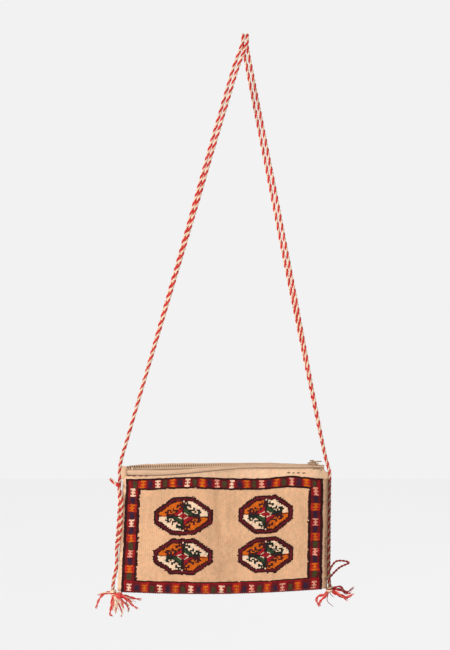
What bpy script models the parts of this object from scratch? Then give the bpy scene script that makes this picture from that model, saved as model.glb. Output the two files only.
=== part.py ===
"""A woven shoulder bag that hangs from a hook by a strap of two twisted cords.

The origin is the point of the hook, just under the strap where it turns. +Z is up and the front faces -Y.
The bag is one knotted strip folded at the bottom, closed at the mouth by a coil zip whose chain is straight.
"""

import math

import bpy
from mathutils import Vector

MM = 0.001

# Where the bag hangs, from the hook to the middle of the zip chain
BAG_DROP = 494.9 * MM
BAG_SHIFT = -22.8 * MM
CLEARANCE = 0.3 * MM

# Woven strip, measured across the front
BODY_WIDTH = 234.6 * MM
FLARE_LEFT = 6.5 * MM
FLARE_RIGHT = -1.3 * MM
WALL = 2.5 * MM
PILE_HEIGHT = 1.1 * MM
RELIEF = 0.4 * MM
RIB_HEIGHT = 0.35 * MM

# Levels of the front below the chain
HEM_DROP_LEFT = 8.9 * MM
HEM_DROP_RIGHT = 0.5 * MM
HEM_CLIMB_FROM = 0.15
HEM_CLIMB_SPAN = 0.5
CORNER_DROP = 6.0 * MM
BACK_HEM_DROP = 4.0 * MM
BORDER_DROP_LEFT = 13.4 * MM
BORDER_DROP_RIGHT = 12.3 * MM
BOTTOM_DROP_LEFT = 141.6 * MM
BOTTOM_DROP_RIGHT = 138.8 * MM
BOTTOM_SAG = 2.6 * MM
FOLD_HEIGHT = 10.0 * MM

# Half of the bag's thickness
HALF_DEPTH_TOP = 10.2 * MM
HALF_DEPTH_MIDDLE = 11.8 * MM
HALF_DEPTH_LOW = 8.6 * MM
HALF_DEPTH_EDGE_TOP = 4.2 * MM
HALF_DEPTH_EDGE_LOW = 2.95 * MM
SQUARENESS_TOP = 10
SQUARENESS_LOW = 4
CREASE_DEPTH = 1.0 * MM
CREASE_AT = -4.0 * MM
CREASE_WIDTH = 12.0 * MM

# Border and medallions, in rows and columns of knots
MARGIN_LEFT = 3.9 * MM
MARGIN_RIGHT = 6.0 * MM
PILE_STEP = 0.6 * MM
SIDE_GUARD = 2.5 * MM
SIDE_BAND = 10.0 * MM
TOP_GUARD = 2.0 * MM
TOP_BAND = 8.0 * MM
FIELD_COLUMNS = 44
FIELD_ROWS = 24
MEDALLION_COLUMNS = (11, 32)
MEDALLION_ROWS = (6, 17)
MEDALLION_REACH = (7, 4)
MEDALLION_CUT = 26

# Steps of the surface, in degrees round the fold and in rows elsewhere
FOLD_STEPS = (25, 50, 75, 100, 104)
BACK_FOLD_STEPS = (140, 180)
INNER_FOLD_STEPS = (180, 135, 90, 45, 0)
BACK_ROWS = 5
INNER_ROWS = 3

# Zip chain and tapes
CHAIN_TILT = math.radians(1.43)
CHAIN_SLIT = 1.2 * MM
COIL_WIDTH = 2.0 * MM
COIL_HEIGHT = 1.9 * MM
COIL_PITCH = 2.6 * MM
COIL_CREST = 0.55
COIL_INSET = 12.0 * MM
TOOTH_NOTCH = 0.5 * MM
TOOTH_DIP = 0.6 * MM
STOP_LENGTH = 2.2 * MM
STOP_RISE = 0.6 * MM
TAPE_THICKNESS = 0.8 * MM
TAPE_FLAT = 5.2 * MM
TAPE_CLEARANCE = 0.6 * MM
TAPE_TUCK = 6.0 * MM
TAPE_FOLD_WIDTH = 1.3 * MM
TAPE_BEND = 0.2 * MM
TAPE_INSET_LEFT = 0.8 * MM
TAPE_INSET_RIGHT = 3.5 * MM
FRONT_FOLD_RISE = 2.0 * MM
FRONT_FOLD_FROM = 0.22
FRONT_FOLD_SPAN = 0.2
BACK_FOLD_RISE_LEFT = 4.5 * MM
BACK_FOLD_RISE_RIGHT = 2.5 * MM
TAPE_COLUMNS = (2, 4, 6, 8, 12, 18)

# Slider and pull tab
SLIDER_GAP = 0.8 * MM
SLIDER_LENGTH = 10.0 * MM
SLIDER_FLARE = 0.3 * MM
SLIDER_PLATE = 1.0 * MM
SLIDER_FLANGE = 0.8 * MM
SLIDER_BEVEL = 0.25 * MM
SLIDER_CORNER = 1.0 * MM
NOSE_CORNER = 2.0 * MM
FLANGE_SETBACK = 1.2 * MM
DIVIDER_SETBACK = 0.6 * MM
JOIN_OVERLAP = 0.5 * MM
DIVIDER_THICKNESS = 0.6 * MM
DIVIDER_LENGTH = 2.8 * MM
CROWN_OPENING = 2.6 * MM
CROWN_THICKNESS = 1.0 * MM
CROWN_WIDTH = 1.6 * MM
TAB_THICKNESS = 1.0 * MM
TAB_BAR = 1.2 * MM
TAB_WIDTH = 5.0 * MM
TAB_LENGTH = 11.3 * MM
TAB_HOLE_RADIUS = 1.4 * MM
TAB_CLEARANCE = 0.4 * MM

# Strap cords
CORD_DIAMETER = 4.3 * MM
CORD_SPACING = 4.8 * MM
HOOK_BEND_RADIUS = 9.0 * MM
CORD_STEP = 24.0 * MM
STRAND_STEP = 7.0 * MM
LOOP_STEP = 5.0 * MM
STRAND_TIP = 0.6
PLY_RADIUS = 0.95 * MM
THREAD_RADIUS = 0.55 * MM
KNOT_HALF_SIZE = (3.6 * MM, 6.0 * MM, 4.0 * MM)

# The strap pair's route in millimetres from the hook, with the angle of the pair across it in degrees
LEFT_SEAM_ROUTE = [
    (-151.9, 0.0, -634.4, -90),
    (-151.6, 0.0, -629.0, -90),
    (-150.4, 0.0, -621.0, -90),
    (-148.3, 0.0, -612.0, -90),
    (-147.5, -0.3, -600.0, -90),
    (-147.4, -1.8, -587.0, -80),
    (-145.0, -4.9, -573.0, -52),
    (-143.9, -4.9, -560.0, -48),
    (-143.1, -5.2, -546.0, -48),
    (-142.5, -5.8, -533.0, -52),
    (-144.3, -2.6, -519.0, -80),
    (-143.9, -0.4, -508.0, -90),
    (-144.0, -0.2, -496.0, -90),
    (-142.0, -0.1, -485.0, -90),
]
LEFT_LIMB_ROUTE = [
    (-135.7, -0.4, -463.5, -90),
    (-119.6, -1.2, -408.0, -84),
    (-103.5, -2.2, -353.0, -74),
    (-87.4, -3.2, -298.0, -64),
    (-71.3, -4.3, -242.7, -54),
    (-55.3, -5.4, -187.5, -42),
    (-39.3, -6.6, -132.0, -30),
    (-23.0, -7.9, -77.0, -18),
    (-10.4, -8.8, -35.7, -8),
]
RIGHT_LIMB_ROUTE = [
    (5.2, 8.8, -35.7, 0),
    (15.9, 7.9, -90.9, 4),
    (32.0, 6.3, -173.7, 12),
    (42.6, 5.2, -229.0, 22),
    (53.3, 4.0, -284.0, 36),
    (64.0, 2.8, -339.0, 54),
    (74.6, 1.6, -394.5, 72),
    (85.6, 0.6, -450.0, 84),
]
RIGHT_SEAM_ROUTE = [
    (92.9, -0.4, -485.0, 90),
    (95.5, -0.8, -493.4, 90),
    (97.1, -0.6, -501.0, 90),
    (97.2, 0.2, -510.0, 90),
    (97.0, 0.8, -524.0, 90),
    (96.8, 1.0, -542.0, 90),
    (96.6, 1.0, -560.0, 90),
    (96.5, 0.8, -578.0, 90),
    (96.4, 0.4, -596.0, 90),
    (96.3, 0.0, -612.0, 90),
    (96.6, 0.0, -623.0, 90),
    (97.2, 0.0, -631.0, 90),
]

# Loose ends in millimetres: each strand runs from the knot through these points
LEFT_KNOT_AT = (-151.9, 0.0, -638.7)
LEFT_STRANDS = [
    [(-156.5, -1.0, -638.9), (-162.5, -2.0, -640.5), (-168.0, -1.5, -647.0), (-171.3, 0.0, -656.6)],
    [(-152.6, -2.5, -646.0), (-153.8, -3.0, -655.0), (-155.0, -1.5, -663.5), (-152.9, 0.5, -666.0)],
    [(-149.5, -2.0, -645.0), (-144.0, -1.0, -655.0), (-141.0, 0.0, -662.0), (-143.0, 1.0, -666.5)],
    [(-147.5, 1.0, -643.0), (-140.0, 2.5, -650.0), (-134.0, 1.0, -654.5), (-134.5, 0.0, -660.5)],
    [(-146.0, -3.0, -641.5), (-136.0, -4.0, -646.0), (-129.5, -3.0, -652.5), (-123.6, -2.0, -656.8)],
    [(-145.5, -1.5, -640.5), (-133.0, -1.5, -643.5), (-126.0, -2.0, -645.5), (-119.6, -1.0, -646.6)],
    [(-150.5, 3.0, -645.0), (-148.0, 4.0, -654.0), (-149.5, 3.0, -661.0)],
]
RIGHT_KNOT_AT = (97.3, 0.0, -635.3)
RIGHT_STRANDS = [
    [(102.5, -1.5, -633.0), (109.0, -2.5, -631.5), (116.5, -1.5, -638.0), (124.5, 0.0, -633.5)],
    [(102.0, 2.0, -635.5), (110.0, 3.0, -636.5), (117.5, 2.5, -640.5), (121.5, 3.5, -640.0)],
    [(102.5, -3.0, -637.0), (109.0, -4.0, -640.5), (116.5, -3.0, -643.5), (124.0, -2.0, -640.5)],
    [(103.0, 0.0, -639.5), (111.0, 0.5, -643.5), (117.5, 0.0, -647.0)],
    [(92.0, -3.0, -640.0), (83.5, -5.0, -642.5), (82.0, -4.5, -648.0), (86.0, -3.0, -653.8)],
    [(93.5, 1.0, -642.0), (87.5, 0.5, -648.0), (84.5, -0.5, -653.5)],
]
RIGHT_THREADS = [
    [(95.0, -2.0, -642.0), (94.5, -1.5, -648.0), (101.0, -1.0, -654.5)],
    [(98.5, 2.0, -641.0), (101.5, 1.0, -644.0)],
]
LOOP_ROUTE = [
    (99.8, -2.4, -610.0),
    (104.6, -1.0, -602.8),
    (113.3, -1.5, -602.2),
    (119.9, -0.5, -604.4),
    (109.6, 0.5, -609.6),
    (99.8, -2.4, -618.7),
]
TUFT_KNOT_AT = (-145.8, -8.0, -514.0)
TUFT_HALF_SIZE = (2.4 * MM, 2.0 * MM, 3.0 * MM)
TUFT_STRANDS = [
    [(-149.7, -9.0, -510.5), (-154.0, -9.5, -506.8)],
    [(-149.2, -7.5, -512.5), (-153.5, -7.5, -509.5)],
]

# Colours of the wool and of the zip, with their roughness
COLOURS = {
    "pile_cream": ((0.76, 0.50, 0.30), 0.95),
    "flat_weave": ((0.62, 0.42, 0.27), 0.95),
    "border_red": ((0.38, 0.015, 0.02), 0.92),
    "dark_brown": ((0.035, 0.008, 0.008), 0.92),
    "maroon": ((0.10, 0.012, 0.018), 0.92),
    "orange": ((0.62, 0.14, 0.010), 0.92),
    "green": ((0.020, 0.040, 0.018), 0.92),
    "navy": ((0.028, 0.012, 0.035), 0.92),
    "white": ((0.86, 0.72, 0.56), 0.95),
    "zip_tape": ((0.60, 0.42, 0.28), 0.85),
    "zip_nylon": ((0.52, 0.38, 0.25), 0.45),
    "zip_metal": ((0.48, 0.36, 0.24), 0.35),
    "cord_red": ((0.55, 0.06, 0.035), 0.90),
}
FLAT_CELLS = ("margin", "step")
MOTIF_CYCLE = ("green", "orange", "navy", "white")


def lerp(start, end, share):
    return start + (end - start) * share


def eased(share):
    """A share from 0 to 1 that leaves and arrives gently."""
    share = min(1.0, max(0.0, share))
    return share * share * (3 - 2 * share)


def material(name):
    """The Principled material of this colour name, made on first use."""
    if name in bpy.data.materials:
        return bpy.data.materials[name]
    made = bpy.data.materials.new(name)
    made.use_nodes = True
    colour, roughness = COLOURS[name]
    shader = made.node_tree.nodes["Principled BSDF"]
    shader.inputs["Base Color"].default_value = (*colour, 1.0)
    shader.inputs["Roughness"].default_value = roughness
    made.diffuse_color = (*colour, 1.0)
    return made


def add_object(name, data, parent=None):
    made = bpy.data.objects.new(name, data)
    bpy.context.scene.collection.objects.link(made)
    made.parent = parent
    return made


def add_mesh(name, points, faces, colours, face_colours=None, parent=None):
    """A mesh object. colours names its materials, and face_colours gives each face's place in that list."""
    mesh = bpy.data.meshes.new(name)
    mesh.from_pydata(points, [], faces)
    for colour in colours:
        mesh.materials.append(material(colour))
    if face_colours:
        mesh.polygons.foreach_set("material_index", face_colours)
    mesh.update()
    return add_object(name, mesh, parent)


def add_box(name, low, high):
    """A box between two corners."""
    points = [(x, y, z) for x in (low[0], high[0]) for y in (low[1], high[1]) for z in (low[2], high[2])]
    faces = [(0, 1, 3, 2), (4, 6, 7, 5), (0, 4, 5, 1), (2, 3, 7, 6), (0, 2, 6, 4), (1, 5, 7, 3)]
    return add_mesh(name, points, faces, [])


def add_prism(name, outline, low, high):
    """An upright prism from an outline of (x, y) points that runs anticlockwise."""
    count = len(outline)
    points = [(x, y, z) for z in (low, high) for x, y in outline]
    sides = [(i, (i + 1) % count, count + (i + 1) % count, count + i) for i in range(count)]
    caps = [tuple(reversed(range(count))), tuple(range(count, 2 * count))]
    return add_mesh(name, points, sides + caps, [])


def combine(name, base, others, colour, operation="UNION", bevel=0.0, parent=None):
    """One mesh object from base and the others, which are used up."""
    for other in others:
        change = base.modifiers.new(other.name, "BOOLEAN")
        change.operation = operation
        change.object = other
    if bevel:
        edge = base.modifiers.new("edge", "BEVEL")
        edge.width = bevel
        edge.segments = 1
        edge.angle_limit = math.radians(50)
    graph = bpy.context.evaluated_depsgraph_get()
    mesh = bpy.data.meshes.new_from_object(base.evaluated_get(graph))
    mesh.name = name
    mesh.materials.clear()
    mesh.materials.append(material(colour))
    for used in [base, *others]:
        bpy.data.objects.remove(used)
    return add_object(name, mesh, parent)


# Woven body


def body_columns():
    """The kinds and widths of the front's columns, from the left edge to the right one."""
    left = [
        ("margin", MARGIN_LEFT),
        ("step", PILE_STEP),
        ("guard", SIDE_GUARD),
        ("band", SIDE_BAND),
        ("inner", SIDE_GUARD),
    ]
    right = [("margin", MARGIN_RIGHT), *left[1:]]
    taken = sum(width for _, width in left + right)
    cell = (BODY_WIDTH - taken) / FIELD_COLUMNS
    return left + [("field", cell)] * FIELD_COLUMNS + right[::-1]


def column_shares():
    """Each column line's share of the way across."""
    shares = [0.0]
    for _, width in body_columns():
        shares.append(shares[-1] + width / BODY_WIDTH)
    return shares


def body_rows():
    """The kinds of the front's rows below the margin, with the height of each on the flat of the front."""
    flat = [("guard", TOP_GUARD), ("band", TOP_BAND), ("inner", TOP_GUARD)]
    field = BOTTOM_DROP_LEFT - FOLD_HEIGHT - BORDER_DROP_LEFT - TOP_GUARD
    cell = (field - sum(height for _, height in flat)) / FIELD_ROWS
    return flat + [("field", cell)] * FIELD_ROWS + [("inner", TOP_GUARD)]


def chain_level(x):
    """Height of the zip chain at x, from the middle of the chain."""
    return x * math.tan(CHAIN_TILT)


def coil_half_length():
    """Half of the coils' length, which keeps their ends at a fixed place in from the bag's sides."""
    return BODY_WIDTH / 2 - COIL_INSET


def stop_at():
    """Where the stops start, from the middle of the chain."""
    return coil_half_length() + CLEARANCE


def across(x):
    """Share of the way across the top of the bag at x."""
    return x / BODY_WIDTH + 0.5


def corner_drop(share):
    """How far the hem falls at this share of the way across, over the margin at either side."""
    from_edge = min(share * BODY_WIDTH / MARGIN_LEFT, (1 - share) * BODY_WIDTH / MARGIN_RIGHT)
    return CORNER_DROP * (1 - min(1.0, from_edge))


def front_hem(share):
    """Level of the front hem, which climbs to the right and falls at the corners."""
    level = -lerp(HEM_DROP_LEFT, HEM_DROP_RIGHT, eased((share - HEM_CLIMB_FROM) / HEM_CLIMB_SPAN))
    return level - corner_drop(share)


def back_hem(share):
    level = chain_level((share - 0.5) * BODY_WIDTH) - BACK_HEM_DROP
    return level - corner_drop(share)


def border_top(share):
    return -lerp(BORDER_DROP_LEFT, BORDER_DROP_RIGHT, share)


def fold_level(share):
    """Level where the fold at the bottom starts."""
    bottom = lerp(BOTTOM_DROP_LEFT, BOTTOM_DROP_RIGHT, share) + BOTTOM_SAG * math.sin(math.pi * share)
    return FOLD_HEIGHT - bottom


def place_across(share, level):
    """x of a point at this share of the width: the bag flares towards the bottom."""
    down = (border_top(0) - level) / (border_top(0) + BOTTOM_DROP_LEFT)
    left = -BODY_WIDTH / 2 - FLARE_LEFT * down
    right = BODY_WIDTH / 2 + FLARE_RIGHT * down
    return lerp(left, right, share)


def half_depth(share, down):
    """Half of the bag's thickness at this share across and this share down from the hem to the fold."""
    if down < 0.5:
        middle = lerp(HALF_DEPTH_TOP, HALF_DEPTH_MIDDLE, eased(down / 0.5))
    else:
        middle = lerp(HALF_DEPTH_MIDDLE, HALF_DEPTH_LOW, eased((down - 0.5) / 0.5))
    edge = lerp(HALF_DEPTH_EDGE_TOP, HALF_DEPTH_EDGE_LOW, eased(down))
    fullness = 1 - abs(2 * share - 1) ** lerp(SQUARENESS_TOP, SQUARENESS_LOW, eased(2 * down))
    return lerp(edge, middle, fullness)


def crease(share, down):
    """The shallow upright hollow in the front, fading at the top and the bottom."""
    x = (share - 0.5) * BODY_WIDTH
    hollow = math.exp(-(((x - CREASE_AT) / CREASE_WIDTH) ** 2))
    return CREASE_DEPTH * hollow * math.sin(math.pi * min(1.0, max(0.0, down)))


def wall_point(side, share, level, raised, inside=False):
    """A point of the front (side -1) or back (side 1) wall above the fold."""
    hem = front_hem(share) if side < 0 else back_hem(share)
    down = (hem - level) / (hem - fold_level(share))
    depth = half_depth(share, down) - (WALL if inside else 0.0)
    if side < 0:
        depth -= crease(share, down)
    return (place_across(share, level), side * (depth + raised), level)


def fold_point(share, degrees, raised, inside=False):
    """A point round the fold, from 0 degrees at the front to 180 at the back."""
    depth = half_depth(share, 1.0) - (WALL if inside else 0.0)
    height = FOLD_HEIGHT - (WALL if inside else 0.0)
    angle = math.radians(degrees)
    outward = Vector((-math.cos(angle) / depth, -math.sin(angle) / height)).normalized() * raised
    level = fold_level(share) - height * math.sin(angle) + outward.y
    return (place_across(share, level), -depth * math.cos(angle) + outward.x, level)


def medallion_colour(column, row):
    """Colour of a cell of a quartered octagon, counted from its centre, or None outside it."""

    def within(i, j):
        reach = abs(i) <= MEDALLION_REACH[0] and abs(j) <= MEDALLION_REACH[1]
        return reach and 3 * abs(i) + 4 * abs(j) <= MEDALLION_CUT

    if not within(column, row):
        return None
    beside = [(column + 1, row), (column - 1, row), (column, row + 1), (column, row - 1)]
    if not all(within(i, j) for i, j in beside):
        return "maroon"
    if column == 0 and row == 0:
        return "border_red"
    if abs(column) + abs(row) == 1:
        return "white"
    warm = (column < 0) == (row < 0)
    if 1 <= abs(column) <= 4 and abs(row) <= 2:
        return "border_red" if warm else "green"
    return "orange" if warm else "white"


def field_colour(column, row):
    for centre_column in MEDALLION_COLUMNS:
        for centre_row in MEDALLION_ROWS:
            colour = medallion_colour(column - centre_column, row - centre_row)
            if colour:
                return colour
    return "pile_cream"


def cell_colour(column_kind, row_kind, column, row):
    """Colour of one cell of the front, where column and row count from the field's first cell."""
    if column_kind in FLAT_CELLS or row_kind in FLAT_CELLS:
        return "flat_weave"
    if "guard" in (column_kind, row_kind):
        return "dark_brown"
    if column_kind == "band" and row_kind == "band":
        return "border_red"
    if row_kind == "band":
        return MOTIF_CYCLE[column // 2 % 4] if column % 2 else "border_red"
    if column_kind == "band":
        return MOTIF_CYCLE[-row // 2 % 4] if row % 2 else "border_red"
    if "inner" in (column_kind, row_kind):
        return "dark_brown"
    return field_colour(column, row)


def front_levels(shares, rows):
    """The levels of the row lines down each column line of the front, from the hem to the fold."""
    places = []
    for share in shares:
        top = border_top(share)
        stretch = (top - fold_level(share)) / sum(height for _, height in rows)
        levels = [front_hem(share), top + PILE_STEP, top]
        for _, height in rows:
            levels.append(levels[-1] - height * stretch)
        places.append(levels)
    return places


def add_woven_body(parent):
    columns = body_columns()
    rows = body_rows()
    fold_kinds = ["band", "band", "band", "guard", "step"]
    row_kinds = ["margin", "step", *[kind for kind, _ in rows], *fold_kinds]
    first_row = row_kinds.index("field")
    first_column = [kind for kind, _ in columns].index("field")

    shares = column_shares()
    levels = front_levels(shares, rows)
    colours = [
        [
            cell_colour(kind, row_kind, column - first_column, row - first_row)
            for row, row_kind in enumerate(row_kinds)
        ]
        for column, (kind, _) in enumerate(columns)
    ]

    def raised(column, row):
        """Height of the pile at a corner: that of the highest cell that meets there."""
        height = 0.0
        for i in (column - 1, column):
            for j in (row - 1, row):
                if 0 <= i < len(columns) and 0 <= j < len(row_kinds):
                    colour = colours[i][j]
                    pile = 0.0 if colour == "flat_weave" else PILE_HEIGHT
                    relief = 0.0 if colour in ("flat_weave", "pile_cream") else RELIEF
                    height = max(height, pile + relief)
        return height

    points = []
    fine = []
    for column, share in enumerate(shares):
        line = []
        flat_rows = len(levels[column])
        for row in range(flat_rows + len(FOLD_STEPS)):
            lift = raised(column, row)
            if row < flat_rows:
                point = wall_point(-1, share, levels[column][row], lift)
            else:
                point = fold_point(share, FOLD_STEPS[row - flat_rows], lift)
            line.append(len(points))
            points.append(point)
        fine.append(line)

    coarse = []
    for column in range(0, len(shares), 2):
        share = shares[column]
        rib = RIB_HEIGHT * (column // 2 % 2)
        loop = [fold_point(share, degrees, rib) for degrees in BACK_FOLD_STEPS]
        hem, fold = back_hem(share), fold_level(share)
        for row in range(1, BACK_ROWS + 1):
            loop.append(wall_point(1, share, lerp(fold, hem, row / BACK_ROWS), rib))
        for row in range(INNER_ROWS):
            loop.append(wall_point(1, share, lerp(hem, fold, row / INNER_ROWS), 0.0, inside=True))
        loop += [fold_point(share, degrees, 0.0, inside=True) for degrees in INNER_FOLD_STEPS]
        hem = front_hem(share)
        for row in range(1, INNER_ROWS + 1):
            loop.append(wall_point(-1, share, lerp(fold, hem, row / INNER_ROWS), 0.0, inside=True))
        coarse.append(list(range(len(points), len(points) + len(loop))))
        points += loop

    names = ["flat_weave", "pile_cream", "border_red", "dark_brown", "maroon", "orange", "green", "navy", "white"]
    faces = []
    face_colours = []
    for column in range(len(columns)):
        for row in range(len(row_kinds)):
            near, far = fine[column], fine[column + 1]
            faces.append((near[row], near[row + 1], far[row + 1], far[row]))
            face_colours.append(names.index(colours[column][row]))
    for column in range(len(coarse) - 1):
        near, far = coarse[column], coarse[column + 1]
        left, middle, right = fine[2 * column], fine[2 * column + 1], fine[2 * column + 2]
        faces.append((left[-1], near[0], middle[-1]))
        faces.append((near[0], far[0], middle[-1]))
        faces.append((middle[-1], far[0], right[-1]))
        for row in range(len(near) - 1):
            faces.append((near[row], near[row + 1], far[row + 1], far[row]))
        faces.append((near[-1], left[0], middle[0]))
        faces.append((near[-1], middle[0], far[-1]))
        faces.append((far[-1], middle[0], right[0]))
    faces.append(tuple(reversed(fine[0] + coarse[0])))
    faces.append(tuple(fine[-1] + coarse[-1]))
    face_colours += [0] * (len(faces) - len(face_colours))
    return add_mesh("woven_body", points, faces, names, face_colours, parent)


# Zip


def tape_section(side, x):
    """Middle line of a tape across the bag at x, from the chain out and down into the mouth."""
    share = across(x)
    hem = front_hem(share) if side < 0 else back_hem(share)
    fold = fold_level(share)
    tuck = hem - TAPE_TUCK
    seat = WALL + TAPE_CLEARANCE + TAPE_THICKNESS / 2
    at_hem = half_depth(share, 0.0) - seat
    at_tuck = half_depth(share, (hem - tuck) / (hem - fold)) - seat
    if side < 0:
        at_hem -= crease(share, 0.0)
        at_tuck -= crease(share, (hem - tuck) / (hem - fold))
    flat = min(TAPE_FLAT, at_hem)
    level = chain_level(x) - CLEARANCE - TAPE_THICKNESS / 2
    if side < 0:
        rise = FRONT_FOLD_RISE * eased((share - FRONT_FOLD_FROM) / FRONT_FOLD_SPAN)
    else:
        rise = lerp(BACK_FOLD_RISE_LEFT, BACK_FOLD_RISE_RIGHT, share)
    rise *= eased((at_hem + TAPE_THICKNESS - TAPE_FLAT) / (2 * TAPE_FOLD_WIDTH))
    outer = max(flat + TAPE_BEND, min(flat + TAPE_FOLD_WIDTH, at_hem))
    line = [
        (CHAIN_SLIT / 2, level),
        (flat, level),
        (outer, level + rise),
        (at_hem, min(hem, level - TAPE_THICKNESS)),
        (at_tuck, tuck),
    ]
    return [(side * y, z) for y, z in line]


def add_zip_tape(name, side, parent):
    """A ribbon of even thickness along the chain, bent where the columns of the woven wall beside it bend."""
    edges = column_shares()
    bends = [edges[i] for i in TAPE_COLUMNS] + [0.5] + [edges[-1 - i] for i in reversed(TAPE_COLUMNS)]
    start = -BODY_WIDTH / 2 + TAPE_INSET_LEFT
    end = BODY_WIDTH / 2 - TAPE_INSET_RIGHT
    stations = [start, *[(share - 0.5) * BODY_WIDTH for share in bends], end]
    points = []
    size = 0
    for x in stations:
        line = [Vector(place) for place in tape_section(side, x)]
        ahead = []
        behind = []
        for i, place in enumerate(line):
            before = (place - line[i - 1]).normalized() if i else (line[1] - place).normalized()
            after = (line[i + 1] - place).normalized() if i + 1 < len(line) else before
            along = (before + after).normalized()
            normal = Vector((-along.y, along.x))
            offset = normal * TAPE_THICKNESS / 2 / max(0.6, along.dot(before))
            ahead.append((x, *(place + offset)))
            behind.append((x, *(place - offset)))
        points += ahead + behind[::-1]
        size = 2 * len(line)
    faces = []
    for station in range(len(stations) - 1):
        near, far = station * size, (station + 1) * size
        for i in range(size):
            j = (i + 1) % size
            faces.append((near + i, far + i, far + j, near + j))
    faces.append(tuple(range(size)))
    faces.append(tuple(reversed(range(len(points) - size, len(points)))))
    return add_mesh(name, points, faces, ["zip_tape"], parent=parent)


def add_zip_coil(name, side, parent):
    """A ridged coil: each tooth is a crest between two notches, with its head towards the other coil."""
    half_length = coil_half_length()
    teeth = round(2 * half_length / COIL_PITCH)
    inner = CHAIN_SLIT / 2
    points = []
    for half in range(2 * teeth + 1):
        x = -half_length + half * half_length / teeth
        notch = TOOTH_NOTCH * (1 - half % 2)
        dip = TOOTH_DIP * (1 - half % 2)
        section = [
            (inner + notch, 0.0),
            (inner + COIL_WIDTH, 0.0),
            (inner + COIL_WIDTH * COIL_CREST, COIL_HEIGHT - dip),
        ]
        points += [(x, side * y, z) for y, z in section]
    faces = []
    for near in range(0, len(points) - 3, 3):
        for i in range(3):
            j = (i + 1) % 3
            faces.append((near + i, near + 3 + i, near + 3 + j, near + j))
    faces.append((0, 1, 2))
    faces.append((len(points) - 1, len(points) - 2, len(points) - 3))
    if side > 0:
        faces = [tuple(reversed(face)) for face in faces]
    return add_mesh(name, points, faces, ["zip_nylon"], parent=parent)


def add_stop(name, start, low_y, high_y, parent):
    """A moulded block at the end of the chain, taller than the coils so that the slider meets it."""
    block = add_box(name + "_block", (start, low_y, 0.0), (start + STOP_LENGTH, high_y, COIL_HEIGHT + STOP_RISE))
    return combine(name, block, [], "zip_nylon", bevel=SLIDER_BEVEL, parent=parent)


def slider_levels():
    """Heights over the chain: bottom plate, tape slot, top plate, and the axis of the pull tab."""
    bottom = -2 * CLEARANCE - TAPE_THICKNESS
    top = COIL_HEIGHT + CLEARANCE
    axis = top + SLIDER_PLATE + TAB_CLEARANCE + TAB_THICKNESS / 2
    return bottom, top, axis


def add_zip_slider(parent):
    bottom, top, axis = slider_levels()
    inside = CHAIN_SLIT / 2 + COIL_WIDTH + CLEARANCE
    tail = inside + SLIDER_FLANGE
    nose, half = tail + SLIDER_FLARE, SLIDER_LENGTH / 2
    outline = [
        (-half, -tail + SLIDER_CORNER),
        (-half + SLIDER_CORNER, -tail),
        (half - NOSE_CORNER, -nose),
        (half, -nose + NOSE_CORNER),
    ]
    outline += [(x, -y) for x, y in reversed(outline)]
    base = add_prism("top_plate", outline, top, top + SLIDER_PLATE)
    others = [add_prism("bottom_plate", outline, bottom - SLIDER_PLATE, bottom)]
    reach = half - FLANGE_SETBACK
    flange_top = top + JOIN_OVERLAP
    for side in (-1, 1):
        edges = sorted((side * inside, side * tail))
        others.append(add_box(f"flange_{side}", (-reach, edges[0], CLEARANCE / 2), (reach, edges[1], flange_top)))
    divider_end = half - DIVIDER_SETBACK
    divider = DIVIDER_THICKNESS / 2
    others.append(
        add_box(
            "divider",
            (divider_end - DIVIDER_LENGTH, -divider, bottom - JOIN_OVERLAP),
            (divider_end, divider, top + JOIN_OVERLAP),
        )
    )
    inner = CROWN_OPENING / 2
    outer = inner + CROWN_THICKNESS
    crown_top = axis + TAB_THICKNESS / 2 + TAB_CLEARANCE + CROWN_THICKNESS
    crown = CROWN_WIDTH / 2
    for side in (-1, 1):
        ends = sorted((side * inner, side * outer))
        low = (ends[0], -crown, top + JOIN_OVERLAP)
        others.append(add_box(f"leg_{side}", low, (ends[1], crown, crown_top - JOIN_OVERLAP / 2)))
    others.append(add_box("bridge", (-outer, -crown, crown_top - CROWN_THICKNESS), (outer, crown, crown_top)))
    return combine("zip_slider", base, others, "zip_metal", bevel=SLIDER_BEVEL, parent=parent)


def arc(centre, radius, start, end, steps):
    """Points on an arc between two angles in degrees."""
    angles = [math.radians(lerp(start, end, i / steps)) for i in range(steps + 1)]
    return [(centre[0] + radius * math.cos(a), centre[1] + radius * math.sin(a)) for a in angles]


def add_zip_pull_tab(parent):
    """The tab lies flat from its bar in the crown, with a window that clears the crown as the tab turns."""
    crown_reach = math.hypot(
        CROWN_OPENING / 2 + CROWN_THICKNESS,
        TAB_THICKNESS / 2 + TAB_CLEARANCE + CROWN_THICKNESS,
    )
    half = TAB_WIDTH / 2
    round_at = TAB_LENGTH - half
    outline = [(-TAB_BAR / 2, half), (-TAB_BAR / 2, -half), *arc((round_at, 0.0), half, -90, 90, 10)]
    plate = add_prism("tab_plate", outline, -TAB_THICKNESS / 2, TAB_THICKNESS / 2)
    window_half = CROWN_WIDTH / 2 + TAB_CLEARANCE
    window = add_box(
        "tab_window",
        (TAB_BAR / 2, -window_half, -TAB_THICKNESS),
        (crown_reach + TAB_CLEARANCE, window_half, TAB_THICKNESS),
    )
    hole = add_prism("tab_hole", arc((round_at, 0.0), TAB_HOLE_RADIUS, 0, 324, 9), -TAB_THICKNESS, TAB_THICKNESS)
    return combine("zip_pull_tab", plate, [window, hole], "zip_metal", "DIFFERENCE", parent=parent)


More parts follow.
